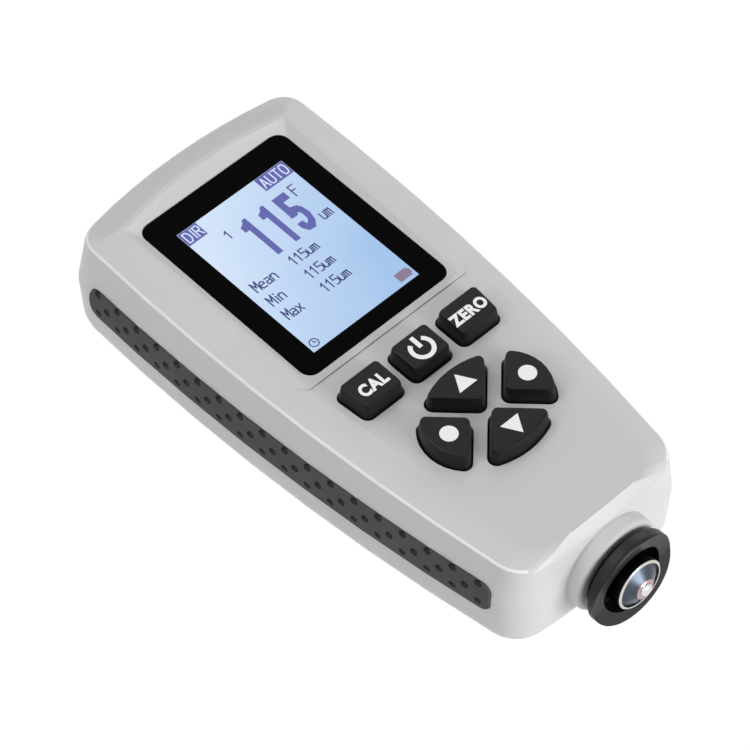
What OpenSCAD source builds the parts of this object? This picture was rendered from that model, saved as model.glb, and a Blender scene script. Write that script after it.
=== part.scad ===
// Hand-held coating thickness gauge with a sprung probe at its front end.
// Millimetres, +Z up. The gauge lies on its back face, the probe points to -Y.
// Inside the modules, Y is counted from the front of the case; seat() centres the whole gauge.

/* [Case] */
// Length of the case at the parting line
case_l = 105.4; // [102:0.2:112]
// Largest width of the case, at the parting line
case_w = 52; // [51:0.2:56]
// Height of the flat key field above the back face
case_h = 23; // [22.8:0.1:25]
// Height of the parting line above the back face
part_z = 12.2; // [11.6:0.1:12.6]
// Wall thickness of both halves
wall = 2; // [1.6:0.1:2.4]
// Lean of the side and end walls from the parting line up to the crease
wall_lean = 1.9; // [1:0.1:2.4]
// Lean of the front wall from the parting line up to the crease
nose_lean = 0.8; // [0.4:0.1:1.4]
// Distance of the widest place from the front
wide_y = 80.8; // [74:0.2:86]
// Radius of the side walls in plan, at the parting line
side_r = 430; // [400:5:600]
// Radius of the side walls in plan, at the crease
crease_side_r = 480; // [440:5:700]
// Radius of the bowed back end in plan
end_r = 108; // [90:1:160]
// Radius of the bowed front in plan
nose_r = 116; // [90:1:160]
// Radius of the two back corners in plan, at the parting line
back_corner_r = 6.5; // [5.5:0.1:9]
// Radius of the two front corners in plan, at the parting line
nose_corner_r = 7; // [5.5:0.1:9]
// Radius of the key field's front corners
field_r = 7; // [3:0.5:9]
// Height of the crease below the key field, at the front
crease_drop = 1.95; // [1.4:0.05:2.4]
// Rise of the crease towards the back end, in degrees
crease_rise = 0.83; // [0:0.01:1]
// Radius of the edge along the crease
crease_r = 1; // [0.6:0.1:1.6]
// Radius of the lower edge round the back face
back_edge_r = 4; // [3:0.1:4.6]
// Draft of the lower half, from the parting line to the lower edge
rear_draft = 0.4; // [0.2:0.05:0.8]

/* [Display frame] */
// Width of the cover glass
glass_w = 32; // [30:0.1:33]
// Length of the cover glass
glass_l = 42.1; // [40:0.1:43]
// Thickness of the cover glass
glass_t = 1.5; // [1:0.1:1.6]
// Corner radius of the cover glass
glass_r = 2.2; // [1:0.1:4]
// Distance of the cover glass from the back end
glass_inset = 10.7; // [10:0.1:12]
// Ledge that carries the cover glass
glass_ledge = 1.8; // [1:0.1:2.2]
// Width of the frame's slope at its front corners
frame_low = 1.5; // [1:0.1:2]
// Width of the frame's slope at its back corners
frame_high = 2.7; // [2:0.1:3]
// Extra width of the slope in the middle of the back edge
frame_bow = 2.2; // [1:0.1:2.6]
// Height of the frame's front edge above the glass
frame_front_z = 0.25; // [0.15:0.05:0.5]
// Height of the frame's back edge above the glass
frame_back_z = 1.15; // [0.8:0.05:1.4]
// Width of the flat land along the top of the frame
frame_land = 0.6; // [0.4:0.1:1]

/* [Keys] */
// Distance from the cover glass to the upper row of keys
row_gap = 5.6; // [5:0.1:7]
// Length of the keys in the upper row
row_key_l = 7.1; // [6:0.1:7.6]
// Width of the middle key of the row
mid_key_w = 8.5; // [7:0.1:9]
// Distance of the outer keys' inner sides from the middle
outer_key_x0 = 6.5; // [6.2:0.1:7.2]
// Distance of the outer keys' outer sides from the middle, at their back corner
outer_key_x1 = 15.65; // [14.5:0.05:16]
// Taper of the outer keys' outer side from back to front
outer_key_taper = 0.65; // [0:0.05:1]
// Distance from the row's middle to the middle of the oval pad
pad_pitch = 15.6; // [15.4:0.1:17]
// Half the width of the oval pad
pad_a = 12.55; // [11:0.05:12.8]
// Half the length of the oval pad
pad_b = 9.5; // [8.5:0.05:9.8]
// Radius of the upper and lower arcs of the pad
pad_long_r = 15; // [13:0.1:18]
// Radius of the side arcs of the pad
pad_side_r = 7.8; // [7:0.1:9]
// Distance of the upper and lower keys' points from the pad's middle
pad_point_y = 0.45; // [0.3:0.05:1]
// Distance of the side keys' points from the pad's middle
pad_point_x = 3.45; // [3.2:0.05:4.5]
// Corner radius of the keys
key_r = 1.25; // [0.8:0.05:1.4]
// Height of the keys above the key field
key_h = 3.1; // [2.6:0.1:3.6]
// Draft of a key's sides, from the field to its top
key_draft = 0.35; // [0.2:0.05:0.6]
// Width of the flange that keeps a key in the case
key_flange = 0.8; // [0.5:0.05:0.9]
// Thickness of that flange
key_flange_t = 1.2; // [0.8:0.1:1.3]
// Stroke of a key
key_stroke = 0.7; // [0.4:0.1:0.8]
// Clearance round a moving key
key_gap = 0.3; // [0.2:0.05:0.4]

/* [Grips] */
// Length of a grip strip
grip_l = 89.4; // [80:0.2:90]
// Height of a grip strip
grip_h = 6.6; // [6:0.1:8.4]
// Distance of a grip strip from the front
grip_y = 6.9; // [6.6:0.1:10]
// Height of a grip's middle line above the parting line
grip_dz = -0.2; // [-0.5:0.1:0.8]
// Depth of the pocket that takes a grip
grip_depth = 1.1; // [0.8:0.05:1.2]
// How far a grip stands out of the wall
grip_proud = 0.35; // [0.2:0.05:0.6]
// Corner radius of a grip
grip_r = 2; // [1:0.1:3]

/* [Probe] */
// Height of the probe's axis above the back face
probe_z = 11.4; // [11:0.1:12]
// Upward lean of the probe's axis, in degrees
probe_lean = 5; // [0:0.5:6]
// Radius of the collar on the case
collar_r = 9; // [8.6:0.1:9.2]
// How far the collar stands out of the front
collar_l = 2.3; // [2:0.1:4]
// Radius of the collar's front edge
collar_edge_r = 1; // [0.5:0.1:1.2]
// Depth of the collar behind the front
collar_depth = 4; // [3:0.1:5]
// Radius of the sleeve
sleeve_r = 8.85; // [8.2:0.05:9]
// Gap between the collar and the sleeve
sleeve_gap = 0.7; // [0.2:0.05:1]
// Length of the sleeve in front of the collar
sleeve_l = 2.55; // [2.4:0.05:3.6]
// Radius of the sleeve's front edge
sleeve_edge_r = 0.8; // [0.3:0.05:1]
// Radius of the sleeve's spigot in the collar
spigot_r = 7; // [6.9:0.05:7.3]
// Length of the spigot
spigot_l = 13; // [12:0.1:14]
// Radius of the hole in the sleeve's end
sleeve_mouth_r = 6.3; // [5.8:0.1:6.6]
// Depth of the V across the sleeve's end
groove_depth = 1.05; // [0.8:0.05:1.6]
// Width of the flat at the bottom of the V
groove_flat = 2.5; // [1.5:0.1:3.5]
// Turn of the V about the probe's axis, in degrees
groove_turn = 8; // [0:1:12]
// Radius of the sensor barrel
sensor_r = 4.7; // [4.4:0.05:4.8]
// Reach of the sensor's rim in front of the sleeve's back
sensor_reach = 3.5; // [2.6:0.05:3.8]
// Width of the sensor's bright rim
sensor_rim = 0.45; // [0.3:0.05:0.7]
// Rise of the sensor's cone from its rim to the copper ring
cone_rise = 1.2; // [0.6:0.05:1.4]
// Radius of the copper ring
ring_r = 1.9; // [1.7:0.05:2.2]
// Radius of the contact tip
tip_r = 1.15; // [0.9:0.05:1.3]
// How far the tip stands in front of the sensor's rim
tip_reach = 1.7; // [0.8:0.05:2]
// Stroke of the sensor
probe_stroke = 2.6; // [1:0.1:3]
// Radius of the probe spring, at the middle of its wire
spring_r = 4.7; // [4.4:0.05:5.2]
// Wire of the probe spring
spring_wire = 0.6; // [0.4:0.05:0.7]
// Running clearance between the sensor and its guide
probe_fit = 0.06; // [0.03:0.01:0.1]

/* [Inside] */
// Thickness of the circuit board
board_t = 1.6; // [1:0.1:1.6]
// Height of the board's lower face above the back face
board_z = 15.6; // [15.4:0.1:15.8]
// Width of the controller chip
chip_w = 9; // [7:0.5:10]
// Thickness of the controller chip
chip_t = 1.2; // [0.8:0.1:1.4]
// Diameter of the buzzer
buzzer_d = 9; // [7:0.5:10]
// Height of the buzzer
buzzer_h = 3; // [2:0.1:3.4]
// Diameter of the board screws
board_screw_d = 2; // [1.6:0.1:2.2]
// Diameter of the board screws' heads
board_head_d = 3.8; // [3.2:0.1:4]
// Width of the display panel
lcd_w = 28; // [26:0.1:28.4]
// Length of the display panel
lcd_l = 37.5; // [36:0.1:37.6]
// Thickness of the display panel
lcd_t = 1.4; // [1:0.1:1.4]
// Thickness of the foam frame over the panel
foam_t = 0.8; // [0.6:0.1:1]
// Wall of the display holder
holder_wall = 1; // [0.8:0.1:1.1]
// Thickness of the keypad mat
mat_t = 0.6; // [0.4:0.1:0.7]
// Diameter of a battery cell
cell_d = 10.5; // [10:0.1:10.5]
// Length of a battery cell
cell_l = 44.5; // [43:0.1:45]
// Gap between the two cells
cell_gap = 0.6; // [0.4:0.1:1]
// Wall of the battery bay
bay_wall = 1.2; // [1:0.1:1.4]
// Room for a battery contact at each end of a cell
contact_room = 3.2; // [2.6:0.1:3.4]
// Thickness of a battery contact plate
plate_t = 0.4; // [0.3:0.05:0.6]
// Width and height of a battery contact plate
plate_w = 8; // [6:0.1:8.4]
// Clearance of a battery contact
contact_gap = 0.05; // [0.02:0.01:0.1]
// Half the width of the battery cover
cover_x = 13; // [12.4:0.1:13.4]
// Length of the thumb grooves across the battery cover
thumb_w = 12; // [8:0.5:16]
// Distance between the thumb grooves
thumb_pitch = 1.8; // [1.4:0.1:2.4]
// Thickness of the battery cover
cover_t = 1.8; // [1.6:0.1:2]
// Width of the rail on each side of the battery cover
cover_rail = 1; // [0.8:0.1:1.2]
// Clearance round the battery cover
cover_gap = 0.3; // [0.25:0.05:0.4]
// Diameter of the screw bosses
boss_d = 5.5; // [5.2:0.1:6]
// Distance of the back bosses from the side of the case
boss_side = 7.4; // [7.2:0.1:8]
// Distance of the back bosses from the back end
boss_back = 17.4; // [16:0.1:20]
// Distance of the front bosses from the middle
nose_boss_x = 13; // [12.4:0.1:13.4]
// Distance of the front bosses from the front
nose_boss_y = 10; // [9.6:0.1:11]
// Diameter of the case screws
screw_d = 2.6; // [2.2:0.1:3]
// Diameter of the case screws' heads
screw_head_d = 4.6; // [4:0.1:4.8]
// Depth of the case screws' heads below the back face
screw_sink = 3; // [2:0.1:4]
// Clearance of seated parts
seat_gap = 0.1; // [0.05:0.05:0.15]

/* [Hidden] */
$fn = 48;
skin = 0.1;
far = 60;
crease_w = case_w - 2 * wall_lean;
crease_z = case_h - crease_drop;
roof_z = case_h - glass_t - 0.9;
glass_y1 = case_l - glass_inset;
glass_y0 = glass_y1 - glass_l;
glass_mid = (glass_y0 + glass_y1) / 2;
row_y = glass_y0 - row_gap - row_key_l / 2;
pad_y = row_y - pad_pitch;
key_top = case_h + key_h;
key_foot = roof_z - key_gap - key_flange_t;
board_top = board_z + board_t;
lcd_top = roof_z - foam_t;
holder_w = lcd_w + 2 * (holder_wall + seat_gap);
holder_l = lcd_l + 2 * (holder_wall + seat_gap);
lcd_y = glass_mid - 0.9;
boss_gap = 0.45;
boss_x = max(case_w / 2 - boss_side, holder_w / 2 + boss_d / 2 + boss_gap);
boss_y = case_l - boss_back;
post_d = 4.4;
board_x = boss_x - boss_d / 2 - boss_gap;
post_x = board_x - 2.3;
post_front_y = row_y - row_key_l / 2 - key_flange - post_d / 2 - boss_gap;
front_boss_y = min(nose_boss_y, pad_y - pad_b + 1.3);
post_back_y = lcd_y + holder_l / 2 + post_d / 2 + 0.5;
board_y0 = max(pad_y - pad_b - 1.9, front_boss_y + boss_d / 2 + boss_gap);
board_y1 = post_back_y + 2.4;
cell_x = (cell_d + cell_gap) / 2;
cell_z = cover_t + 2 * cover_gap + cell_d / 2;
bay_l = cell_l + 2 * contact_room;
bay_y1 = case_l - 7.9;
bay_y0 = bay_y1 - bay_l;
bay_x = cell_x + cell_d / 2 + cover_gap;
bay_roof_z = cell_z + cell_d / 2 + 0.15;
bay_roof_t = 0.8;
contact_spring_l = 2 * (contact_room - plate_t) - contact_gap;
cover_y0 = bay_y0 - 1.6;
cover_rail_z = 0.8;
head_y = -collar_l - sleeve_gap - sleeve_r * sin(probe_lean);
tip_y = head_y - (sensor_reach + tip_reach) * cos(probe_lean);
groove_z = sleeve_l - groove_depth;
guide_z0 = -5;
chamber_r = spigot_r - 0.8;
flange_z = guide_z0 - 0.3;
flange_t = 1.5;
retainer_t = 1.6;
spring_z1 = flange_z - flange_t - 0.05;
spring_z0 = -spigot_l + retainer_t + 0.05;
spring_turns = (spring_z1 - spring_z0 - probe_stroke) / spring_wire - 0.5;
ring_top = sensor_reach + cone_rise;
ring_foot = 1.5;
shade_case = "#c4c6c8";
shade_rubber = "#3f4042";
shade_key = "#222224";

// Helpers for outlines

function mix(a, b, t) = a + (b - a) * t;

function heading(p) = atan2(p[1], p[0]);

function arc(c, r, a0, a1, n) =
    [for (i = [0:n]) c + r * [cos(mix(a0, a1, i / n)), sin(mix(a0, a1, i / n))]];

function tail(list) = [for (i = [1:len(list) - 1]) list[i]];

// Point at distance r1 from c1 and r2 from c2, on the side given by s
function meet(c1, r1, c2, r2, s) =
    let (d = norm(c2 - c1), u = (c2 - c1) / d)
    let (a = (r1 * r1 - r2 * r2 + d * d) / (2 * d))
    c1 + u * a + s * sqrt(r1 * r1 - a * a) * [-u[1], u[0]];

// Right half of the case outline as five tangent arcs.
// t runs from 0 at the crease to 1 at the parting line, grow moves the outline outwards.
function half_outline(t, grow) =
    let (rs = mix(crease_side_r, side_r, t) + grow)
    let (cs = [mix(crease_w, case_w, t) / 2 + grow - rs, wide_y])
    let (cb = [0, case_l - mix(wall_lean, 0, t) - end_r])
    let (cf = [0, mix(nose_lean, 0, t) + nose_r])
    let (kb = max(0.4, mix(back_corner_r - wall_lean, back_corner_r, t) + grow))
    let (kf = max(0.4, mix(nose_corner_r - nose_lean, nose_corner_r, t) + grow))
    let (pb = meet(cs, rs - kb, cb, end_r + grow - kb, 1))
    let (pf = meet(cs, rs - kf, cf, nose_r + grow - kf, -1))
    concat(
        arc(cf, nose_r + grow, -90, heading(pf - cf), 3),
        tail(arc(pf, kf, heading(pf - cf), heading(pf - cs), 5)),
        tail(arc(cs, rs, heading(pf - cs), heading(pb - cs), 7)),
        tail(arc(pb, kb, heading(pb - cs), heading(pb - cb), 5)),
        tail(arc(cb, end_r + grow, heading(pb - cb), 90, 4))
    );

function outline(t, grow) =
    let (half = half_outline(t, grow))
    let (n = len(half))
    concat(half, [for (i = [n - 2:-1:1]) [-half[i][0], half[i][1]]]);

// Helpers for solids

module seat() {
    translate([0, -(case_l + tip_y) / 2, 0]) children();
}

module slab(z, points) {
    translate([0, 0, z]) linear_extrude(skin) polygon(points);
}

module crease_slab(z, t, grow, back_of = -1) {
    translate([0, 0, z]) rotate([crease_rise, 0, 0]) linear_extrude(skin)
        polygon([for (p = outline(t, grow)) if (p[1] > back_of) p]);
}

module rounded_rect(w, l, r) {
    half_w = w / 2 - r;
    half_l = l / 2 - r;
    polygon(concat(
        arc([half_w, -half_l], r, -90, 0, 6), arc([half_w, half_l], r, 0, 90, 6),
        arc([-half_w, half_l], r, 90, 180, 6), arc([-half_w, -half_l], r, 180, 270, 6)
    ));
}

module plate(z0, z1, w, l, r = 0.6) {
    translate([0, 0, z0]) linear_extrude(z1 - z0) rounded_rect(w, l, r);
}

module mirrored_x() {
    children();
    mirror([1, 0, 0]) children();
}

module above_parting() {
    intersection() {
        children();
        translate([-far, -far, part_z]) cube([2 * far, case_l + 2 * far, far]);
    }
}

module below_parting() {
    intersection() {
        children();
        translate([-far, -far, part_z - far]) cube([2 * far, case_l + 2 * far, far]);
    }
}

// Turns local +Z into the probe's outward axis, with z = 0 at the sleeve's back
module on_probe() {
    translate([0, head_y, probe_z]) rotate([90 - probe_lean, 0, 0]) children();
}

// Closed skin over rings of equally many points, listed from the bottom up
module loft(rings) {
    n = len(rings[0]);
    top = (len(rings) - 1) * n;
    points = [for (ring = rings) for (p = ring) p];
    walls = [for (j = [0:len(rings) - 2], i = [0:n - 1], lower = [true, false])
        let (a = j * n + i, b = j * n + (i + 1) % n)
        lower ? [a, b + n, b] : [a, a + n, b + n]];
    polyhedron(points, concat([[for (i = [0:n - 1]) i]], [[for (i = [n - 1:-1:0]) top + i]], walls));
}

// Round wire of the given number of turns along +Z
module coil(r0, r1, wire, z0, z1, turns) {
    steps = ceil(turns * 18);
    sides = 6;
    rise = z1 - z0 - wire;
    points = [for (i = [0:steps], j = [0:sides - 1])
        let (a = 360 * turns * i / steps, b = 360 * j / sides)
        let (r = mix(r0, r1, i / steps) + wire / 2 * cos(b))
        [r * cos(a), r * sin(a), z0 + wire / 2 + rise * i / steps + wire / 2 * sin(b)]];
    walls = [for (i = [0:steps - 1], j = [0:sides - 1])
        let (k = (j + 1) % sides)
        [i * sides + j, i * sides + k, (i + 1) * sides + k, (i + 1) * sides + j]];
    ends = [[for (j = [sides - 1:-1:0]) j], [for (j = [0:sides - 1]) steps * sides + j]];
    polyhedron(points, concat([for (f = walls) [f[3], f[2], f[1], f[0]]],
        [for (f = ends) [for (i = [sides - 1:-1:0]) f[i]]]));
}

// Case

field_corners = [[12.4, 2.3], [glass_w / 2 + frame_low, glass_y0 - 1.7]];

module body_form(grow) {
    hull() {
        for (a = [90, 60, 30, 0])
            slab(back_edge_r * (1 - sin(a)), outline(1, grow - rear_draft - back_edge_r * (1 - cos(a))));
        slab(part_z - skin, outline(1, grow));
        slab(part_z, outline(1, grow));
        crease_slab(crease_z - 1.2 * crease_r, 0.12, grow);
        crease_slab(crease_z - 0.35 * crease_r, 0, grow - 0.12 * crease_r);
        crease_slab(crease_z - skin, 0, grow - 0.75 * crease_r);
        slab(case_h - skin, field_outline());
    }
}

function field_outline() =
    let (side = heading(field_corners[1] - field_corners[0]))
    let (c = field_corners[0] + field_r * [-tan(side / 2), 1])
    let (right = concat(arc(c, field_r, -90, side - 90, 6), [field_corners[1],
        [glass_w / 2 + frame_high, glass_y1 + 1.6]]))
    concat(right, flipped(right));

// Outer edge of the display frame, moved inwards by inset
function frame_outline(inset) =
    let (x0 = glass_w / 2 + frame_low - inset, x1 = glass_w / 2 + frame_high - inset)
    let (y0 = glass_y0 - 1.7 + inset, y1 = glass_y1 + 1.6 - inset)
    let (r = (x1 * x1 + frame_bow * frame_bow) / (2 * frame_bow))
    let (a = asin(x1 / r))
    concat([[-x0, y0], [x0, y0]], arc([0, y1 + frame_bow - r], r, 90 - a, 90 + a, 8));

module frame_slab(inset, lift = 0) {
    run = glass_l + 3.3;
    translate([0, glass_y0 - 1.7, case_h + frame_front_z + lift - skin])
        rotate([atan((frame_back_z - frame_front_z) / run), 0, 0])
            translate([0, 1.7 - glass_y0, 0]) linear_extrude(skin) polygon(frame_outline(inset));
}

module display_rise() {
    hull() {
        frame_slab(0);
        crease_slab(crease_z - 0.5 * crease_r, 0, -crease_r, glass_y0 - 4);
    }
}

module frame_recess() {
    hull() {
        translate([0, glass_mid, case_h - skin]) linear_extrude(skin)
            rounded_rect(glass_w + 2 * seat_gap, glass_l + 2 * seat_gap, glass_r);
        frame_slab(frame_land, 2 * skin);
    }
}

module inner_form() {
    r = back_edge_r - wall;
    hull() {
        for (a = [90, 45, 0])
            slab(wall + r * (1 - sin(a)), outline(1, -wall - rear_draft - r * (1 - cos(a))));
        slab(part_z, outline(1, -wall));
        slab(roof_z - 1.6, outline(0.2, -wall));
        slab(roof_z - skin, outline(0, -wall - 1.4));
    }
}

module grip_window(grow) {
    translate([5, grip_y + grip_l / 2, part_z + grip_dz]) rotate([90, 0, 90]) linear_extrude(far)
        rounded_rect(grip_l + 2 * grow, grip_h + 2 * grow, grip_r + grow);
}

module grip_pockets() {
    difference() {
        mirrored_x() grip_window(seat_gap);
        body_form(-grip_depth);
    }
}

module collar() {
    y1 = collar_depth + collar_l;
    translate([0, collar_depth, probe_z]) rotate([90, 0, 0]) rotate_extrude($fn = 96)
        polygon(concat([[0, 0], [collar_r, 0]],
            arc([collar_r - collar_edge_r, y1 - collar_edge_r], collar_edge_r, 0, 90, 6), [[0, y1]]));
}

module collar_bore() {
    on_probe() translate([0, 0, -spigot_l - 4]) cylinder(h = spigot_l + 12, r = spigot_r + seat_gap / 2);
}

module at_bosses() {
    for (p = [[boss_x, boss_y], [nose_boss_x, front_boss_y]])
        mirrored_x() translate([p[0], p[1], 0]) children();
}

module at_posts() {
    for (y = [post_front_y, post_back_y])
        mirrored_x() translate([post_x, y, 0]) children();
}

module front_case() {
    color(shade_case) seat() difference() {
        union() {
            difference() {
                union() {
                    above_parting() body_form(0);
                    display_rise();
                    above_parting() collar();
                }
                inner_form();
                grip_pockets();
                frame_recess();
            }
            above_parting() intersection() {
                collar();
                translate([-far, 0, 0]) cube([2 * far, far, far]);
            }
            at_bosses() translate([0, 0, part_z]) cylinder(h = roof_z - part_z + 0.4, d = boss_d);
            at_posts() translate([0, 0, board_top]) cylinder(h = roof_z - board_top + 0.4, d = post_d);
        }
        translate([0, glass_mid, 0])
            plate(case_h - glass_t, case_h + 4, glass_w + 2 * seat_gap, glass_l + 2 * seat_gap, glass_r);
        translate([0, glass_mid, 0]) plate(roof_z - 1, case_h, glass_w - 2 * glass_ledge,
            glass_l - 2 * glass_ledge, 1);
        for (k = [0:6])
            translate([0, 0, roof_z - 1]) linear_extrude(far) polygon(key_points(k, key_gap));
        at_bosses() translate([0, 0, part_z - 1]) cylinder(h = 7, d = screw_d + seat_gap);
        at_posts() translate([0, 0, board_top - 1]) cylinder(h = 3.8, d = board_screw_d + seat_gap);
        collar_bore();
    }
}

module rear_case() {
    rail_x = cover_x + cover_rail + cover_gap;
    color(shade_case) seat() difference() {
        union() {
            difference() {
                union() {
                    below_parting() body_form(0);
                    below_parting() collar();
                }
                inner_form();
                grip_pockets();
            }
            below_parting() intersection() {
                collar();
                translate([-far, 0, 0]) cube([2 * far, far, far]);
            }
            at_bosses() translate([0, 0, wall - 0.4]) cylinder(h = part_z - wall + 0.4, d = boss_d + 1.2);
            bay_walls();
            mirrored_x() translate([bay_x, cover_y0 - 1.5, wall - 0.4])
                cube([rail_x + 1.2 - bay_x, bay_y1 + bay_wall - cover_y0 + 1.5, cover_t + cover_gap]);
        }
        // Slot for the battery cover, open at the back end
        translate([-cover_x - cover_gap, cover_y0 - cover_gap, -1])
            cube([2 * (cover_x + cover_gap), case_l, 1 + cover_rail_z]);
        translate([-rail_x, cover_y0 - cover_gap, cover_rail_z - cover_gap])
            cube([2 * rail_x, case_l, cover_t + 2 * cover_gap - cover_rail_z]);
        // Mouth of the battery bay
        translate([-bay_x, bay_y0, 0]) cube([2 * bay_x, bay_l, bay_roof_z]);
        at_bosses() translate([0, 0, -1]) cylinder(h = far, d = screw_d + 2 * seat_gap);
        at_bosses() translate([0, 0, -1]) cylinder(h = 1 + screw_sink + 1.8, d = screw_head_d + 0.4);
        collar_bore();
    }
}

module bay_walls() {
    difference() {
        translate([-bay_x - bay_wall, bay_y0 - bay_wall, wall - 0.4])
            cube([2 * (bay_x + bay_wall), bay_l + 2 * bay_wall, bay_roof_z + bay_roof_t - wall + 0.4]);
        translate([-bay_x, bay_y0, -1]) cube([2 * bay_x, bay_l, 1 + bay_roof_z]);
    }
}

module battery_cover() {
    color(shade_case) seat() difference() {
        intersection() {
            body_form(0);
            union() {
                translate([-cover_x, cover_y0, -1]) cube([2 * cover_x, case_l, 1 + cover_t]);
                mirrored_x() translate([cover_x - skin, cover_y0, cover_rail_z])
                    cube([cover_rail + skin, case_l, cover_t - cover_rail_z]);
            }
        }
        for (i = [0:4]) translate([-thumb_w / 2, cover_y0 + 4 + i * thumb_pitch, -1]) cube([thumb_w, 0.8, 1.4]);
    }
}

// Display

module display_window() {
    color("#101012") seat() translate([0, glass_mid, 0])
        plate(case_h - glass_t, case_h, glass_w, glass_l, glass_r - seat_gap);
}

module lcd_gasket() {
    color("#26272a") seat() translate([0, lcd_y, 0]) difference() {
        plate(lcd_top, roof_z, holder_w, holder_l);
        plate(lcd_top - 1, roof_z + 1, lcd_w - 2.4, lcd_l - 2.4);
    }
}

module lcd_panel() {
    color("#b9cfe8") seat() translate([0, lcd_y, 0]) plate(lcd_top - lcd_t, lcd_top, lcd_w, lcd_l);
}

module backlight() {
    color("#eef2f6") seat() translate([0, lcd_y, 0]) plate(board_top, lcd_top - lcd_t, lcd_w, lcd_l);
}

module lcd_holder() {
    color("#e4e4e0") seat() translate([0, lcd_y, 0]) difference() {
        plate(board_top, lcd_top, holder_w, holder_l, 1);
        plate(board_top - 1, lcd_top + 1, lcd_w + 2 * seat_gap, lcd_l + 2 * seat_gap);
    }
}

// Electronics

module main_board() {
    color("#2f6b45") seat() difference() {
        translate([0, (board_y0 + board_y1) / 2, 0])
            plate(board_z, board_top, 2 * board_x, board_y1 - board_y0, 1);
        at_posts() translate([0, 0, board_z - 1]) cylinder(h = board_t + 2, d = board_screw_d + 2 * seat_gap);
    }
}

module controller_chip() {
    color("#1c1c1e") seat() translate([0, row_y - 7, 0]) plate(board_z - chip_t, board_z, chip_w, chip_w, 0.3);
}

module buzzer() {
    color("#1c1c1e") seat() translate([-8, pad_y - 1, board_z - buzzer_h]) difference() {
        cylinder(h = buzzer_h, d = buzzer_d);
        translate([0, 0, -1]) cylinder(h = 1.6, d = 0.18 * buzzer_d);
    }
}

module board_screws() {
    color("silver") seat() at_posts() {
        translate([0, 0, board_z - 1.2]) cylinder(h = 1.2, d = board_head_d);
        translate([0, 0, board_z - 0.2]) cylinder(h = 4, d = board_screw_d);
    }
}

// Keys

// Outline of a key in the upper row, its outer side tapered towards the front
function row_key(x0, x1, taper, grow) =
    let (lean = atan(taper / row_key_l), r = key_r + grow)
    let (y0 = row_y - row_key_l / 2 + key_r, y1 = row_y + row_key_l / 2 - key_r)
    let (xb = x1 - key_r * (tan(lean) + 1 / cos(lean)))
    let (xf = x1 - taper + key_r * (tan(lean) - 1 / cos(lean)))
    concat(
        arc([xf, y0], r, -90, -lean, 5), arc([xb, y1], r, -lean, 90, 5),
        arc([x0 + key_r, y1], r, 90, 180, 5), arc([x0 + key_r, y0], r, 180, 270, 5)
    );

// Outline of one sector of the oval pad, turned to point outwards at the given angle
function pad_key(angle, reach, bow_r, point, grow) =
    let (c = reach - bow_r, q = point + key_r * sqrt(2), rho = bow_r - key_r, r = key_r + grow)
    let (x = (c + q + sqrt((c + q) * (c + q) - 2 * (c * c + q * q - rho * rho))) / 2)
    let (a = heading([x - c, x - q]))
    let (flat = concat(
        arc([q, 0], r, 135, 225, 5), arc([x, q - x], r, -135, -a, 5),
        tail(arc([c, 0], bow_r + grow, -a, a, 8)), tail(arc([x, x - q], r, a, 135, 5))
    ))
    [for (p = flat) [p[0] * cos(angle) - p[1] * sin(angle), pad_y + p[0] * sin(angle) + p[1] * cos(angle)]];

function flipped(points) = [for (i = [len(points) - 1:-1:0]) [-points[i][0], points[i][1]]];

function key_points(k, grow) =
    k == 0 ? flipped(row_key(outer_key_x0, outer_key_x1, outer_key_taper, grow)) :
    k == 1 ? row_key(-mid_key_w / 2, mid_key_w / 2, 0, grow) :
    k == 2 ? row_key(outer_key_x0, outer_key_x1, outer_key_taper, grow) :
    k == 3 ? pad_key(90, pad_b, pad_long_r, pad_point_y, grow) :
    k == 4 ? pad_key(-90, pad_b, pad_long_r, pad_point_y, grow) :
    k == 5 ? pad_key(180, pad_a, pad_side_r, pad_point_x, grow) :
    pad_key(0, pad_a, pad_side_r, pad_point_x, grow);

module key(k) {
    rings = [[key_foot + key_flange_t / 2, 0], [case_h, 0], [key_top - 0.55, -key_draft],
        [key_top - 0.18, -key_draft - 0.15], [key_top, -key_draft - 0.5]];
    color(shade_key) seat() {
        translate([0, 0, key_foot]) linear_extrude(key_flange_t) polygon(key_points(k, key_flange));
        loft([for (ring = rings) [for (p = key_points(k, ring[1])) [p[0], p[1], ring[0]]]]);
    }
}

module key_cal() { key(0); }
module key_power() { key(1); }
module key_zero() { key(2); }
module key_up() { key(3); }
module key_down() { key(4); }
module key_left() { key(5); }
module key_right() { key(6); }

module keypad_mat() {
    mat_y1 = row_y + row_key_l / 2;
    mat_y0 = max(pad_y - pad_b, board_y0);
    pad_top = key_foot - key_stroke - key_gap;
    color("#55565a") seat() {
        difference() {
            translate([0, (mat_y0 + mat_y1) / 2, 0])
                plate(board_top, board_top + mat_t, 2 * board_x, mat_y1 - mat_y0, 1);
            at_posts() translate([0, 0, board_top - 1]) cylinder(h = 4, d = post_d + 2 * key_gap);
        }
        for (p = concat([for (x = [-10.6, 0, 10.6]) [x, row_y]],
            [for (s = [-1, 1]) [0, pad_y + s * 5.6]], [for (s = [-1, 1]) [s * 8.4, pad_y]]))
            translate([p[0], p[1], board_top + mat_t - skin])
                cylinder(h = pad_top - board_top - mat_t + skin, d = 4);
    }
}

// Grips

module grip() {
    color(shade_rubber) seat() difference() {
        intersection() {
            body_form(grip_proud);
            grip_window(0);
        }
        body_form(seat_gap - grip_depth);
    }
}

module grip_left() { mirror([1, 0, 0]) grip(); }
module grip_right() { grip(); }

// Batteries

// A cell whose raised pole lies on the contact plate at its own end
module cell(x, turn) {
    color("#8a8d92") seat() translate([x, (bay_y0 + bay_y1) / 2, cell_z]) rotate([turn, 0, 0])
        translate([0, 0, contact_room - plate_t - contact_gap]) {
            translate([0, 0, -cell_l / 2]) cylinder(h = cell_l - 0.8, d = cell_d);
            translate([0, 0, cell_l / 2 - 0.8 - skin]) cylinder(h = 0.8 + skin, d = 3.8);
        }
}

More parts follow.
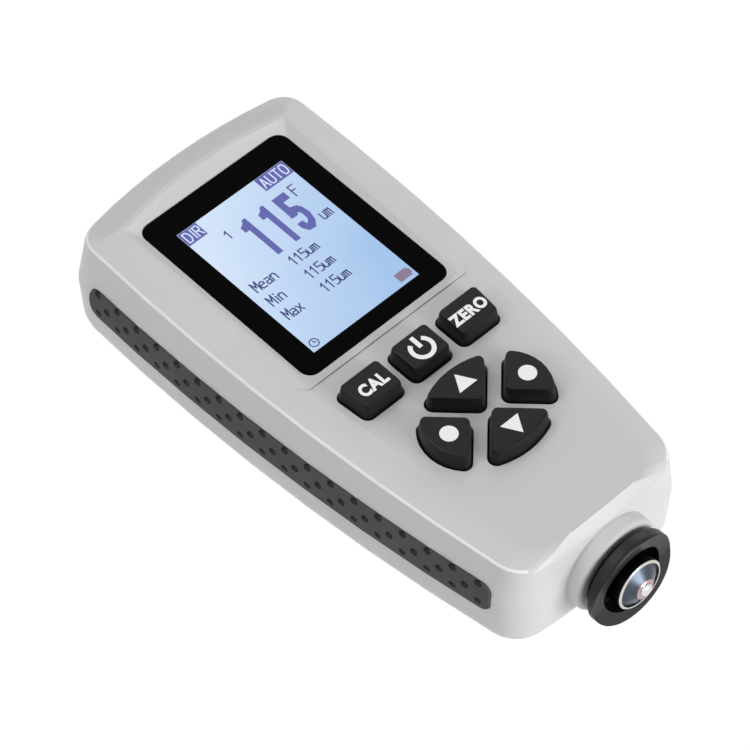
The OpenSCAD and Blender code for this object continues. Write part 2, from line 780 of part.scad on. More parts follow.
module battery_1() { cell(-cell_x, 90); }
module battery_2() { cell(cell_x, -90); }

module contact_plates() {
    color("silver") seat() for (s = [-1, 1], y = [bay_y0, bay_y1 - plate_t])
        translate([s * cell_x - plate_w / 2, y, cell_z - plate_w / 2]) cube([plate_w, plate_t, plate_w]);
}

module contact_springs() {
    color("silver") seat() for (s = [-1, 1])
        translate([s * cell_x, (bay_y0 + bay_y1) / 2 - s * (bay_l / 2 - plate_t), cell_z])
            rotate([s * -90, 0, 0]) coil(3.2, 1.8, 0.5, contact_gap, contact_spring_l - contact_gap, 4);
}

// Fasteners

module case_screws() {
    color("silver") seat() at_bosses() difference() {
        union() {
            translate([0, 0, screw_sink]) cylinder(h = 1.8, d = screw_head_d);
            translate([0, 0, screw_sink + 1]) cylinder(h = part_z + 5.5 - screw_sink - 1, d = screw_d);
        }
        for (a = [0, 90]) rotate(a) translate([-1.2, -0.25, screw_sink - 1]) cube([2.4, 0.5, 1.9]);
    }
}

// Probe

module probe_sleeve() {
    bevel = 0.4;
    color("#141416") seat() on_probe() difference() {
        rotate_extrude($fn = 128) polygon(concat(
            [[sensor_r + probe_fit, guide_z0], [chamber_r, guide_z0], [chamber_r, -spigot_l],
                [spigot_r, -spigot_l], [spigot_r, 0], [sleeve_r - bevel, 0], [sleeve_r, bevel]],
            arc([sleeve_r - sleeve_edge_r, sleeve_l - sleeve_edge_r], sleeve_edge_r, 0, 90, 4),
            [[sleeve_mouth_r, sleeve_l], [sleeve_mouth_r, -1], [sensor_r + probe_fit, -1]]
        ));
        rotate([0, 0, groove_turn]) rotate([90, 0, 90]) linear_extrude(far, center = true)
            polygon(groove_outline());
    }
}

// Cross-section of the V: a narrow flat with a gentle slope on each side
function groove_outline() =
    let (x0 = groove_flat / 2, x1 = sleeve_r + 1)
    let (z1 = groove_z + groove_depth * (x1 - x0) / (sleeve_r - x0))
    [[-x0, groove_z], [x0, groove_z], [x1, z1], [x1, z1 + 5], [-x1, z1 + 5], [-x1, z1]];

module probe_sensor() {
    rim_in = sensor_r - sensor_rim;
    color("#aeb2b8") seat() on_probe() rotate_extrude($fn = 96) polygon([
        [0, flange_z - flange_t], [5.6, flange_z - flange_t], [5.6, flange_z], [sensor_r, flange_z],
        [sensor_r, sensor_reach - 0.2], [sensor_r - 0.2, sensor_reach], [rim_in, sensor_reach],
        [rim_in, sensor_reach - 0.4], [ring_r, ring_top - 0.3], [ring_r, ring_foot], [0, ring_foot]
    ]);
}

module probe_ring() {
    color("#c08a72") seat() on_probe() rotate_extrude($fn = 64) polygon([
        [tip_r + 0.02, ring_foot], [ring_r - 0.02, ring_foot], [ring_r - 0.02, ring_top - 0.15],
        [ring_r - 0.2, ring_top], [tip_r + 0.02, ring_top]
    ]);
}

module probe_tip() {
    top = sensor_reach + tip_reach;
    color("#d8dade") seat() on_probe() rotate_extrude($fn = 64)
        polygon(concat([[0, ring_foot], [tip_r, ring_foot]],
            arc([tip_r - 0.5, top - 0.5], 0.5, 0, 90, 5), [[0, top]]));
}

module probe_spring() {
    color("silver") seat() on_probe()
        coil(spring_r, spring_r, spring_wire, spring_z0, spring_z1, spring_turns);
}

module probe_retainer() {
    color("#141416") seat() on_probe() difference() {
        translate([0, 0, -spigot_l]) cylinder(h = retainer_t, r = chamber_r - seat_gap / 2);
        translate([0, 0, -spigot_l - 1]) cylinder(h = retainer_t + 2, r = 2);
    }
}

front_case();
rear_case();
battery_cover();
display_window();
lcd_gasket();
lcd_panel();
backlight();
lcd_holder();
main_board();
controller_chip();
buzzer();
board_screws();
keypad_mat();
key_cal();
key_power();
key_zero();
key_up();
key_down();
key_left();
key_right();
grip_left();
grip_right();
battery_1();
battery_2();
contact_plates();
contact_springs();
case_screws();
probe_sleeve();
probe_sensor();
probe_ring();
probe_tip();
probe_spring();
probe_retainer();
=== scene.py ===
"""Dresses the coating thickness gauge: shells, display, keys, grips, probe and studio."""
import logging
import math
from dataclasses import dataclass, field
from enum import Enum
from functools import cache
from typing import Callable, Sequence

import bmesh
import bpy
from mathutils import Matrix, Vector
from mathutils.bvhtree import BVHTree
from mathutils.interpolate import poly_3d_calc


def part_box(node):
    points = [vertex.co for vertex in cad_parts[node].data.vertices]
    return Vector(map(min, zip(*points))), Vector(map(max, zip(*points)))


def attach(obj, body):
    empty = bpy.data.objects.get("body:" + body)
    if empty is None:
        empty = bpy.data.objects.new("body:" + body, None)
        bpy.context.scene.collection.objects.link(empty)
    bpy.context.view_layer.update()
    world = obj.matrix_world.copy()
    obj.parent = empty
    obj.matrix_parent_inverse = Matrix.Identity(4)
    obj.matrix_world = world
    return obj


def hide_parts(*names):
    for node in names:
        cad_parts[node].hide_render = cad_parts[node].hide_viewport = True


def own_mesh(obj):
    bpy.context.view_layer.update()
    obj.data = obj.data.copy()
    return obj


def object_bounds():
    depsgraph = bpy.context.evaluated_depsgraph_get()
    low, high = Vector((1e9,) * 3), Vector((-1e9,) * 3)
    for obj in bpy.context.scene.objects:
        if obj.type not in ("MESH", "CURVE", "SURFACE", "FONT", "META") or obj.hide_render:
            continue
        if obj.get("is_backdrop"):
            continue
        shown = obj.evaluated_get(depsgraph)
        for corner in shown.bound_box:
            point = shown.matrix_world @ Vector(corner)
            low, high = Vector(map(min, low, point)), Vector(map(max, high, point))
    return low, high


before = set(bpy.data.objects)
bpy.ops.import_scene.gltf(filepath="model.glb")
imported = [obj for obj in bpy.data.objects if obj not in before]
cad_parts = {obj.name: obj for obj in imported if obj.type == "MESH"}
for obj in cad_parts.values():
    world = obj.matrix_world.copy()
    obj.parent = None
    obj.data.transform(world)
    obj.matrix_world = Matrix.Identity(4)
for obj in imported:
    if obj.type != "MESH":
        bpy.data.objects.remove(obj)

LOG = logging.getLogger("gauge")
MM = 0.001
COLLAR_OUT = 2.3
FRONT_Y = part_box("front_case")[0].y / MM + COLLAR_OUT
HEAD = (0.0, FRONT_Y - 3.771, 11.4)
HEAD_LEAN = 5.0
WELD = 2e-6
FLAT_DEG = 0.4
TURNED_DEG = 0.001
COAT_ROUGH, GRAIN_BUMP, MOULDED_MARKS = 0.06, 0.35, 90.0
METAL_BUMP, METAL_MARKS, METAL_GRAIN, METAL_DULLED, METAL_SPREAD = 0.4, 260.0, 6000.0, 0.86, 0.1
INK_CELLS, INK_UNLIT = 2500.0, 0.02
GLASS_MARKS, GLASS_SPREAD, GLASS_SPECULAR = 60.0, 0.05, 0.02
WHITE = (1, 1, 1, 1)
BLACK = (0, 0, 0, 1)

Colour = tuple[float, float, float]
Triple = tuple[float, float, float]
Pair = tuple[float, float]
Point = tuple[float, float]
Material = bpy.types.Material
Node = bpy.types.Node
Piece = bpy.types.Object
Face = bpy.types.MeshPolygon
Edge = bmesh.types.BMEdge
Shape = bmesh.types.BMesh
Socket = bpy.types.NodeSocket
Tree = bpy.types.NodeTree


class Body(str, Enum):
    """Moving bodies of the gauge."""

    CASE = "case"
    COVER = "battery_cover"
    PROBE = "probe"


class Mark(Enum):
    """Kinds of symbol on the keys."""

    WORD = "word"
    POWER = "power"
    UP = "up"
    DOWN = "down"
    DOT = "dot"


def linear(code: str) -> Colour:
    """Turns a hex colour into linear light.

    Args:
        code: Six hex digits, with a leading hash sign.

    Returns:
        Red, green and blue in linear light.
    """
    parts = [int(code[i:i + 2], 16) / 255 for i in (1, 3, 5)]
    r, g, b = (p / 12.92 if p <= 0.04045 else ((p + 0.055) / 1.055) ** 2.4 for p in parts)
    return r, g, b


def shaded(colour: Colour, factor: float) -> tuple[float, float, float, float]:
    """Returns the colour times a factor, with full alpha."""
    return colour[0] * factor, colour[1] * factor, colour[2] * factor, 1.0


class NodeSheet:
    """Adds and wires nodes in one tree."""

    def __init__(self, tree: Tree) -> None:
        """Keeps the tree that the nodes go into."""
        self.tree = tree

    def give(self, node: Node, values: dict[str | int, object]) -> Node:
        """Feeds a node's inputs.

        Args:
            node: The node.
            values: Constants, or output sockets to link, by the input's name or number.

        Returns:
            The node.
        """
        for key, value in values.items():
            if isinstance(value, Socket):
                self.tree.links.new(value, node.inputs[key])
            else:
                node.inputs[key].default_value = value
        return node

    def add(self, kind: str, values: dict[str | int, object] | None = None, **settings: object) -> Node:
        """Adds a node.

        Args:
            kind: Blender's name of the node type.
            values: What its inputs are fed with.
            settings: Attributes of the node.

        Returns:
            The new node.
        """
        node = self.tree.nodes.new(kind)
        for key, value in settings.items():
            setattr(node, key, value)
        return self.give(node, values or {})

    def math(self, operation: str, a: object, b: object = 0.0) -> Socket:
        """Works on one or two numbers or sockets and returns the result's socket."""
        return self.add("ShaderNodeMath", {0: a, 1: b}, operation=operation).outputs[0]

    def blend(self, factor: Socket, a: object, b: object) -> Socket:
        """Mixes two colours, as four numbers or sockets, and returns the result's socket."""
        return self.add("ShaderNodeMix", {0: factor, 6: a, 7: b}, data_type="RGBA").outputs[2]

    def remap(self, value: Socket, low: float, high: float) -> Socket:
        """Spreads a value from 0..1 over a range and returns its socket."""
        return self.add("ShaderNodeMapRange", {"Value": value, "To Min": low, "To Max": high}).outputs["Result"]

    def vector(self, x: object = 0.0, y: object = 0.0, z: object = 0.0) -> Socket:
        """Joins three numbers or sockets to a vector and returns its socket."""
        return self.add("ShaderNodeCombineXYZ", {"X": x, "Y": y, "Z": z}).outputs[0]

    def split(self, vector: Socket) -> tuple[Socket, Socket, Socket]:
        """Returns the sockets of a vector's X, Y and Z."""
        return tuple(self.add("ShaderNodeSeparateXYZ", {0: vector}).outputs)


class SharedEffects:
    """Shader groups that several finishes use."""

    @staticmethod
    def start(name: str, size: str, *results: str) -> tuple[NodeSheet, Socket, Socket, Node]:
        """Starts a group that reads coordinates and one size.

        Args:
            name: Name of the group.
            size: Name of the size.
            results: Names of its outputs.

        Returns:
            The group's sheet, its coordinates, its size and its output node.
        """
        tree = bpy.data.node_groups.new(name, "ShaderNodeTree")
        tree.interface.new_socket("Vector", in_out="INPUT", socket_type="NodeSocketVector")
        tree.interface.new_socket(size, in_out="INPUT", socket_type="NodeSocketFloat")
        for result in results:
            tree.interface.new_socket(result, in_out="OUTPUT", socket_type="NodeSocketFloat")
        sheet = NodeSheet(tree)
        given = sheet.add("NodeGroupInput").outputs
        return sheet, given["Vector"], given[size], sheet.add("NodeGroupOutput")

    @staticmethod
    @cache
    def grain() -> Tree:
        """Draws the fine grain of moulded and rubber surfaces.

        Returns:
            The group.
        """
        sheet, coord, cells, end = SharedEffects.start("moulded_grain", "Cells", "Height", "Tone")
        fine, pits, broad = ({"Vector": coord, "Scale": sheet.math("MULTIPLY", cells, share)}
                             for share in (1.6, 1.0, 0.02))
        fine = sheet.add("ShaderNodeTexNoise", {**fine, "Detail": 2.0, "Roughness": 0.6})
        pits = sheet.add("ShaderNodeTexVoronoi", pits, feature="SMOOTH_F1")
        broad = sheet.add("ShaderNodeTexNoise", {**broad, "Detail": 3.0})
        height = sheet.math("MULTIPLY", fine.outputs["Fac"], sheet.math("ADD", pits.outputs["Distance"], 0.5))
        sheet.give(end, {"Height": height, "Tone": broad.outputs["Fac"]})
        return sheet.tree

    @staticmethod
    @cache
    def handling() -> Tree:
        """Draws soft smudges from handling.

        Returns:
            The group.
        """
        sheet, coord, scale, end = SharedEffects.start("handling_marks", "Scale", "Mask")
        warp = sheet.add("ShaderNodeTexNoise", {"Vector": coord, "Scale": scale, "Detail": 4.0, "Distortion": 0.8})
        ramp = sheet.add("ShaderNodeMapRange", {"Value": warp.outputs["Fac"], "From Min": 0.42, "From Max": 0.72},
                         interpolation_type="SMOOTHSTEP")
        sheet.give(end, {"Mask": ramp.outputs["Result"]})
        return sheet.tree


@dataclass(frozen=True)
class Finish:
    """Base of all finishes.

    Attributes:
        name: Name of the material.
        colour: Base colour in linear light.
        roughness: Mean roughness.
    """

    name: str
    colour: Colour
    roughness: float

    def open(self) -> tuple[Material, NodeSheet, Node, Socket]:
        """Starts the material.

        Returns:
            The material, its node sheet, its Principled node and the object coordinates.
        """
        material = bpy.data.materials.new(self.name)
        material.use_nodes = True
        sheet = NodeSheet(material.node_tree)
        principled = material.node_tree.nodes["Principled BSDF"]
        sheet.give(principled, {"Base Color": shaded(self.colour, 1.0), "Roughness": self.roughness})
        return material, sheet, principled, sheet.add("ShaderNodeTexCoord").outputs["Object"]

    def smudges(self, sheet: NodeSheet, coord: Socket, scale: float) -> Socket:
        """Places the marks of handling, so many in a metre, and returns their mask's socket."""
        tree = SharedEffects.handling()
        return sheet.add("ShaderNodeGroup", {"Vector": coord, "Scale": scale}, node_tree=tree).outputs["Mask"]

    def build(self) -> Material:
        """Returns the finished material."""
        raise NotImplementedError


@dataclass(frozen=True)
class MouldedFinish(Finish):
    """Moulded plastic or rubber with a fine grain.

    Attributes:
        cells: Grain cells in a metre.
        relief: Height of the grain in mm.
        tone: Share by which the colour varies.
        spread: Range of the roughness round its mean.
        coat: Weight of a clear gloss layer.
        specular: Strength of the plain reflection.
    """

    cells: float = 3000.0
    relief: float = 0.012
    tone: float = 0.03
    spread: float = 0.06
    coat: float = 0.0
    specular: float = 0.5

    def build(self) -> Material:
        """Wires the material.

        Returns:
            The finished material.
        """
        material, sheet, principled, coord = self.open()
        grain = sheet.add("ShaderNodeGroup", {"Vector": coord, "Cells": self.cells},
                          node_tree=SharedEffects.grain()).outputs
        bump = sheet.add("ShaderNodeBump", {"Strength": GRAIN_BUMP, "Distance": self.relief * MM,
                                            "Height": grain["Height"]})
        dark, pale = shaded(self.colour, 1 - self.tone), shaded(self.colour, 1 + self.tone)
        rough = sheet.remap(self.smudges(sheet, coord, MOULDED_MARKS), self.roughness + self.spread,
                            self.roughness - self.spread)
        sheet.give(principled, {
            "Base Color": sheet.blend(grain["Tone"], dark, pale), "Roughness": rough,
            "Specular IOR Level": self.specular, "Coat Weight": self.coat, "Coat Roughness": COAT_ROUGH,
            "Normal": bump.outputs["Normal"]})
        return material


@dataclass(frozen=True)
class MetalFinish(Finish):
    """Plated or turned metal.

    Attributes:
        rings: Turning marks in a metre of radius, 0 for none.
        relief: Depth of the marks in mm.
        centre: A point on the turning axis, in mm.
        lean: Lean of that axis above -Y, in degrees.
    """

    rings: float = 0.0
    relief: float = 0.004
    centre: Triple = (0.0, 0.0, 0.0)
    lean: float = 0.0

    def height(self, sheet: NodeSheet, coord: Socket) -> Socket:
        """Draws the turning marks, or a fine grain.

        Args:
            sheet: Sheet of the material.
            coord: Coordinates that they read.

        Returns:
            The socket of their height.
        """
        if not self.rings:
            noise = sheet.add("ShaderNodeTexNoise", {"Vector": coord, "Scale": METAL_GRAIN, "Detail": 2.0})
            return noise.outputs["Fac"]
        turn = sheet.add("ShaderNodeMapping", {
            "Vector": coord, "Location": Vector(self.centre) * MM,
            "Rotation": (math.radians(90 - self.lean), 0, 0)}, vector_type="TEXTURE")
        x, y, _ = sheet.split(turn.outputs["Vector"])
        square = sheet.math("ADD", sheet.math("MULTIPLY", x, x), sheet.math("MULTIPLY", y, y))
        return sheet.math("SINE", sheet.math("MULTIPLY", sheet.math("SQRT", square), self.rings * 2 * math.pi))

    def build(self) -> Material:
        """Wires the material.

        Returns:
            The finished material.
        """
        material, sheet, principled, coord = self.open()
        mask = self.smudges(sheet, coord, METAL_MARKS)
        bump = sheet.add("ShaderNodeBump", {"Strength": METAL_BUMP, "Distance": self.relief * MM,
                                            "Height": self.height(sheet, coord)})
        sheet.give(principled, {
            "Base Color": sheet.blend(mask, shaded(self.colour, 1.0), shaded(self.colour, METAL_DULLED)),
            "Roughness": sheet.remap(mask, self.roughness, self.roughness + METAL_SPREAD), "Metallic": 1.0,
            "Normal": bump.outputs["Normal"]})
        return material


@dataclass(frozen=True)
class InkFinish(Finish):
    """Printed ink, or a lit segment where glow is above 0.

    Attributes:
        glow: Strength of its own light.
        tone: Share by which the colour varies.
    """

    glow: float = 0.0
    tone: float = 0.05

    def build(self) -> Material:
        """Wires the material.

        Returns:
            The finished material.
        """
        material, sheet, principled, coord = self.open()
        noise = sheet.add("ShaderNodeTexNoise", {"Vector": coord, "Scale": INK_CELLS, "Detail": 2.0})
        colour = sheet.blend(noise.outputs["Fac"], shaded(self.colour, 1 - self.tone),
                             shaded(self.colour, 1 + self.tone))
        if self.glow:
            sheet.give(principled, {"Base Color": shaded(self.colour, INK_UNLIT), "Specular IOR Level": 0.0,
                                    "Emission Strength": self.glow, "Emission Color": colour})
        else:
            sheet.give(principled, {"Base Color": colour})
        return material


@dataclass(frozen=True)
class WindowFinish(Finish):
    """Black window with the lit panel showing through its clear field.

    Attributes:
        lit_near: Colour of the panel at its bright corner.
        lit_far: Colour at the opposite corner.
        half_w: Half the width of the clear field in mm.
        low_y: Front edge of the clear field in mm.
        high_y: Back edge of the clear field in mm.
        fall: Share of the change of colour across and along the field.
        cloud: Clouds of uneven light in a metre, and their share.
    """

    lit_near: Colour = (1.0, 1.0, 1.0)
    lit_far: Colour = (0.5, 0.5, 0.5)
    half_w: float = 11.8
    low_y: float = 7.0
    high_y: float = 40.5
    fall: Pair = (0.32, -0.36)
    cloud: Pair = (70.0, 0.35)

    def build(self) -> Material:
        """Wires the material.

        Returns:
            The finished material.
        """
        material, sheet, principled, coord = self.open()
        x, y, _ = sheet.split(coord)
        mid, half_l = (self.low_y + self.high_y) / 2, (self.high_y - self.low_y) / 2
        from_mid = sheet.math("SUBTRACT", y, mid * MM)
        inside_x = sheet.math("LESS_THAN", sheet.math("ABSOLUTE", x), self.half_w * MM)
        inside_y = sheet.math("LESS_THAN", sheet.math("ABSOLUTE", from_mid), half_l * MM)
        across = sheet.math("MULTIPLY", x, self.fall[0] / (self.half_w * MM))
        along = sheet.math("MULTIPLY", from_mid, self.fall[1] / (half_l * MM))
        cloud = sheet.add("ShaderNodeTexNoise", {"Vector": coord, "Scale": self.cloud[0], "Detail": 2.0})
        uneven = sheet.math("MULTIPLY", sheet.math("SUBTRACT", cloud.outputs["Fac"], 0.5), self.cloud[1])
        place = sheet.math("ADD", sheet.math("ADD", across, along), sheet.math("ADD", uneven, 0.5))
        clamp = sheet.add("ShaderNodeClamp", {"Value": place})
        lit = sheet.blend(clamp.outputs["Result"], shaded(self.lit_near, 1.0), shaded(self.lit_far, 1.0))
        rough = sheet.remap(self.smudges(sheet, coord, GLASS_MARKS), self.roughness, self.roughness + GLASS_SPREAD)
        sheet.give(principled, {
            "Emission Color": sheet.blend(sheet.math("MULTIPLY", inside_x, inside_y), BLACK, lit),
            "Emission Strength": 1.0, "Specular IOR Level": GLASS_SPECULAR, "Roughness": rough})
        return material


def placed(name: str, data: bpy.types.ID) -> Piece:
    """Makes an object of a mesh, curve, lamp or camera.

    Args:
        name: Name of the object.
        data: What it shows.

    Returns:
        The object, in the scene.
    """
    thing = bpy.data.objects.new(name, data)
    bpy.context.scene.collection.objects.link(thing)
    return thing


def new_piece(name: str, shape: Shape) -> Piece:
    """Turns a bmesh into an object at the origin.

    Args:
        name: Name of the piece.
        shape: Its shape, in metres; it is freed.

    Returns:
        The object.
    """
    mesh = bpy.data.meshes.new(name)
    shape.to_mesh(mesh)
    shape.free()
    return placed(name, mesh)


def behind(points: Sequence[Point]) -> list[Point]:
    """Moves points given behind the case's front to the frame."""
    return [(x, y + FRONT_Y) for x, y in points]


class Shop:
    """Makes pieces, gives them finishes and hangs them on bodies."""

    def __init__(self) -> None:
        """Starts with no materials made."""
        self.materials: dict[str, Material] = {}

    def material(self, finish: Finish) -> Material:
        """Finds the material of a finish, and makes it the first time.

        Args:
            finish: The finish.

        Returns:
            Its material.
        """
        if finish.name not in self.materials:
            self.materials[finish.name] = finish.build()
        return self.materials[finish.name]

    def paint(self, piece: Piece, finish: Finish) -> None:
        """Puts one finish on a whole piece."""
        piece.data.materials.clear()
        piece.data.materials.append(self.material(finish))

    def dress_node(self, node: str, finish: Finish) -> None:
        """Puts a finish on a CAD node that stays as it is."""
        self.paint(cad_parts[node], finish)
        LOG.info("dressed %s with %s", node, finish.name)

    def copy_of(self, node: str, name: str, smooth_deg: float, flat_deg: float = FLAT_DEG) -> Piece:
        """Copies a CAD node as one joined skin with soft shading.

        Args:
            node: Name of the node.
            name: Name of the copy.
            smooth_deg: Edges flatter than this are shaded smooth.
            flat_deg: Triangles that meet at less than this angle become one flat face.

        Returns:
            The copy.
        """
        shape = bmesh.new()
        shape.from_mesh(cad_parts[node].data)
        bmesh.ops.remove_doubles(shape, verts=shape.verts, dist=WELD)
        bmesh.ops.dissolve_limit(shape, angle_limit=math.radians(flat_deg), use_dissolve_boundaries=False,
                                 verts=shape.verts, edges=shape.edges, delimit={"NORMAL"})
        piece = new_piece(name, shape)
        self.soften(piece, smooth_deg)
        return piece

    def soften(self, piece: Piece, smooth_deg: float) -> None:
        """Shades a piece smooth, with sharp edges above an angle.

        Args:
            piece: The piece.
            smooth_deg: The angle.
        """
        piece.data.shade_smooth()
        shape = bmesh.new()
        shape.from_mesh(piece.data)
        for edge in shape.edges:
            edge.smooth = edge.calc_face_angle(math.pi) <= math.radians(smooth_deg)
        shape.to_mesh(piece.data)
        shape.free()

    def settle(self, piece: Piece) -> None:
        """Weights a piece's normals by face area, so that broad faces stay flat beside their rounded edges.

        Args:
            piece: The piece.
        """
        weigh = piece.modifiers.new("weigh", "WEIGHTED_NORMAL")
        weigh.mode, weigh.weight, weigh.keep_sharp = "FACE_AREA", 50, True
        self.flatten(piece)

    def hang(self, piece: Piece, body: str, slot: str, finish: Finish, *nodes: str) -> None:
        """Finishes a piece and hangs it on its body.

        Args:
            piece: The piece.
            body: Body that it moves with.
            slot: Not used.
            finish: Its finish.
            nodes: CAD nodes that it stands for.
        """
        self.paint(piece, finish)
        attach(piece, body)
        if nodes:
            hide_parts(*nodes)
        LOG.info("piece %s on %s", piece.name, body)

    def zone(self, piece: Piece, finish: Finish, inside: Callable[[Face], bool]) -> None:
        """Puts a second finish on some faces of a piece.

        Args:
            piece: The piece.
            finish: The finish.
            inside: Tells whether a face belongs to the zone.
        """
        piece.data.materials.append(self.material(finish))
        number = len(piece.data.materials) - 1
        for face in piece.data.polygons:
            if inside(face):
                face.material_index = number

    def flatten(self, piece: Piece) -> None:
        """Replaces a piece's live modifiers by their result.

        Args:
            piece: The piece.
        """
        graph = bpy.context.evaluated_depsgraph_get()
        mesh = bpy.data.meshes.new_from_object(piece.evaluated_get(graph))
        piece.modifiers.clear()
        piece.data = mesh


def prism(shape: Shape, outline: Sequence[Point], z0: float, z1: float) -> None:
    """Adds an upright prism to a shape.

    Args:
        shape: Shape that takes it.
        outline: Corners in mm, counter-clockwise.
        z0: Lower height in mm.
        z1: Upper height in mm.
    """
    low = [shape.verts.new((x * MM, y * MM, z0 * MM)) for x, y in outline]
    top = [shape.verts.new((x * MM, y * MM, z1 * MM)) for x, y in outline]
    shape.faces.new(top)
    shape.faces.new(low[::-1])
    for i in range(len(outline)):
        j = (i + 1) % len(outline)
        shape.faces.new((low[i], low[j], top[j], top[i]))


def stroke(shape: Shape, points: Sequence[Point], width: float, z0: float, z1: float) -> None:
    """Adds a pen stroke of square-ended bars.

    Args:
        shape: Shape that takes it.
        points: Corners of the stroke in mm.
        width: Width of the pen in mm.
        z0: Lower height in mm.
        z1: Upper height in mm.
    """
    for (ax, ay), (bx, by) in zip(points, points[1:]):
        run = Vector((bx - ax, by - ay)).normalized() * width / 2
        side = Vector((-run.y, run.x))
        a, b = Vector((ax, ay)) - run * 0.9, Vector((bx, by)) + run * 0.9
        prism(shape, [tuple(a - side), tuple(b - side), tuple(b + side), tuple(a + side)], z0, z1)


def rounded(half_w: float, half_l: float, radius: float, steps: int = 8) -> list[Point]:
    """Outline of a rounded rectangle.

    Args:
        half_w: Half the width in mm.
        half_l: Half the length in mm.
        radius: Corner radius in mm.
        steps: Steps of each corner.

    Returns:
        Its corners, counter-clockwise.
    """
    points: list[Point] = []
    for k, (sx, sy) in enumerate(((1, -1), (1, 1), (-1, 1), (-1, -1))):
        for i in range(steps + 1):
            a = math.radians(-90 + 90 * (k + i / steps))
            x, y = sx * (half_w - radius), sy * (half_l - radius)
            points.append((x + radius * math.cos(a), y + radius * math.sin(a)))
    return points


PLASTIC = MouldedFinish("case_plastic", linear("#c7c7c7"), 0.38, cells=2600.0, relief=0.010, tone=0.02, specular=0.45)
# Painted highlight: lighter, glossier plastic on the crease's bevel, standing in for the line of light along that
# edge.
PAINTED_HIGHLIGHT_PLASTIC = MouldedFinish("crease_painted_highlight", linear("#e8e8e8"), 0.25, cells=2600.0, relief=0.004, tone=0.02,
                             specular=0.7)
RUBBER = MouldedFinish("grip_rubber", linear("#505051"), 0.72, cells=3600.0, relief=0.02, tone=0.08, specular=0.12)
# Painted shade: darker rubber on the dimples' inner faces, where shade falls in the hollows.
PAINTED_SHADE_RUBBER = MouldedFinish("dimple_painted_shade", linear("#1a1a1b"), 0.4, cells=3600.0, relief=0.01, tone=0.08,
                              specular=0.25)
KEY_RUBBER = MouldedFinish("key_rubber", linear("#0d0d0e"), 0.42, cells=4200.0, relief=0.010, tone=0.1, specular=0.2)
SLEEVE_BLACK = MouldedFinish("sleeve_gloss", linear("#0d0c10"), 0.38, cells=900.0, relief=0.002, tone=0.1,
                             specular=0.26)
FOAM = MouldedFinish("foam_black", linear("#202024"), 0.9, cells=2500.0, relief=0.05, tone=0.2)
HOLDER = MouldedFinish("holder_white", linear("#dedcd4"), 0.55)
MAT = MouldedFinish("mat_grey", linear("#5a5b5f"), 0.7)
BOARD = MouldedFinish("board_lacquer", linear("#2d5c3c"), 0.35, cells=700.0, relief=0.01, tone=0.15, coat=0.3)
CHIP = MouldedFinish("chip_black", linear("#1a1a1c"), 0.5)
DIFFUSER = MouldedFinish("diffuser_white", linear("#eef1f4"), 0.5)
PANEL = MouldedFinish("panel_glass", linear("#9fb4cc"), 0.12, cells=800.0, relief=0.002, coat=0.5)
CELL_SKIN = MouldedFinish("cell_sleeve", linear("#8b8e93"), 0.34, cells=500.0, relief=0.004, tone=0.06, coat=0.4)
STEEL = MetalFinish("plain_steel", linear("#c2c4c8"), 0.28)
BARREL = MetalFinish("dark_barrel", linear("#1e2024"), 0.34, rings=5200.0, centre=HEAD, lean=HEAD_LEAN)
NICKEL = MetalFinish("nickel_rim", linear("#d2d0ca"), 0.18)
CONE = MetalFinish("sensor_cone", linear("#4b525c"), 0.3, rings=5200.0, centre=HEAD, lean=HEAD_LEAN)
COPPER = MetalFinish("copper_ring", linear("#bba1a2"), 0.26, rings=6000.0, centre=HEAD, lean=HEAD_LEAN)
POLISHED = MetalFinish("polished_tip", linear("#dcdee1"), 0.12)
WHITE_INK = InkFinish("white_ink", linear("#f2f2f2"), 0.55)
SEGMENT = InkFinish("lcd_segment", linear("#686bae"), 0.1, glow=1.0, tone=0.06)
THIN_SEGMENT = InkFinish("lcd_thin_segment", linear("#4d5084"), 0.1, glow=1.0, tone=0.1)
PALE_SEGMENT = InkFinish("lcd_pale_segment", linear("#d6e4fb"), 0.1, glow=1.0)
CELL_MARK = InkFinish("lcd_cell_mark", linear("#8d7f97"), 0.1, glow=1.0, tone=0.12)

# Strokes of the display's letters, as x,y in shares of a letter's width and height.
GLYPHS = {
    "1": ".05,.74 .5,1 .5,0",
    "5": "1,1 .05,1 .05,.56 .75,.56 1,.42 1,.14 .75,0 .05,0",
    "u": "0,.62 0,.1 .2,0 .6,0 .9,.2 | .9,.62 .9,0",
    "m": "0,0 0,.62 | 0,.56 .4,.62 .48,0 | .48,.54 .9,.62 1,0",
    "M": "0,0 0,1 .5,.4 1,1 1,0",
    "e": "0,.34 .9,.34 .9,.5 .65,.62 .2,.62 0,.46 0,.14 .2,0 .9,0",
    "a": ".1,.62 .7,.62 .9,.5 .9,0 | .9,.34 .2,.34 0,.2 .2,0 .9,.06",
    "n": "0,0 0,.62 | 0,.46 .3,.62 .7,.62 .9,.46 .9,0",
    "i": ".3,0 .3,.62 | .3,.86 .3,.94",
    "x": "0,0 .9,.62 | 0,.62 .9,0",
    "A": "0,0 .45,1 .9,0 | .2,.36 .7,.36",
    "U": "0,1 0,.16 .2,0 .7,0 .9,.16 .9,1",
    "T": "0,1 .9,1 | .45,1 .45,0",
    "O": ".2,0 .7,0 .95,.3 .95,.7 .7,1 .2,1 0,.7 0,.3 .2,0",
    "F": "0,0 0,1 .9,1 | 0,.54 .7,.54",
    "D": "0,0 0,1 .6,1 .95,.7 .95,.3 .6,0 0,0",
    "I": ".3,0 .3,1",
    "R": "0,0 0,1 .7,1 .9,.85 .9,.65 .7,.5 0,.5 | .45,.5 .95,0",
}


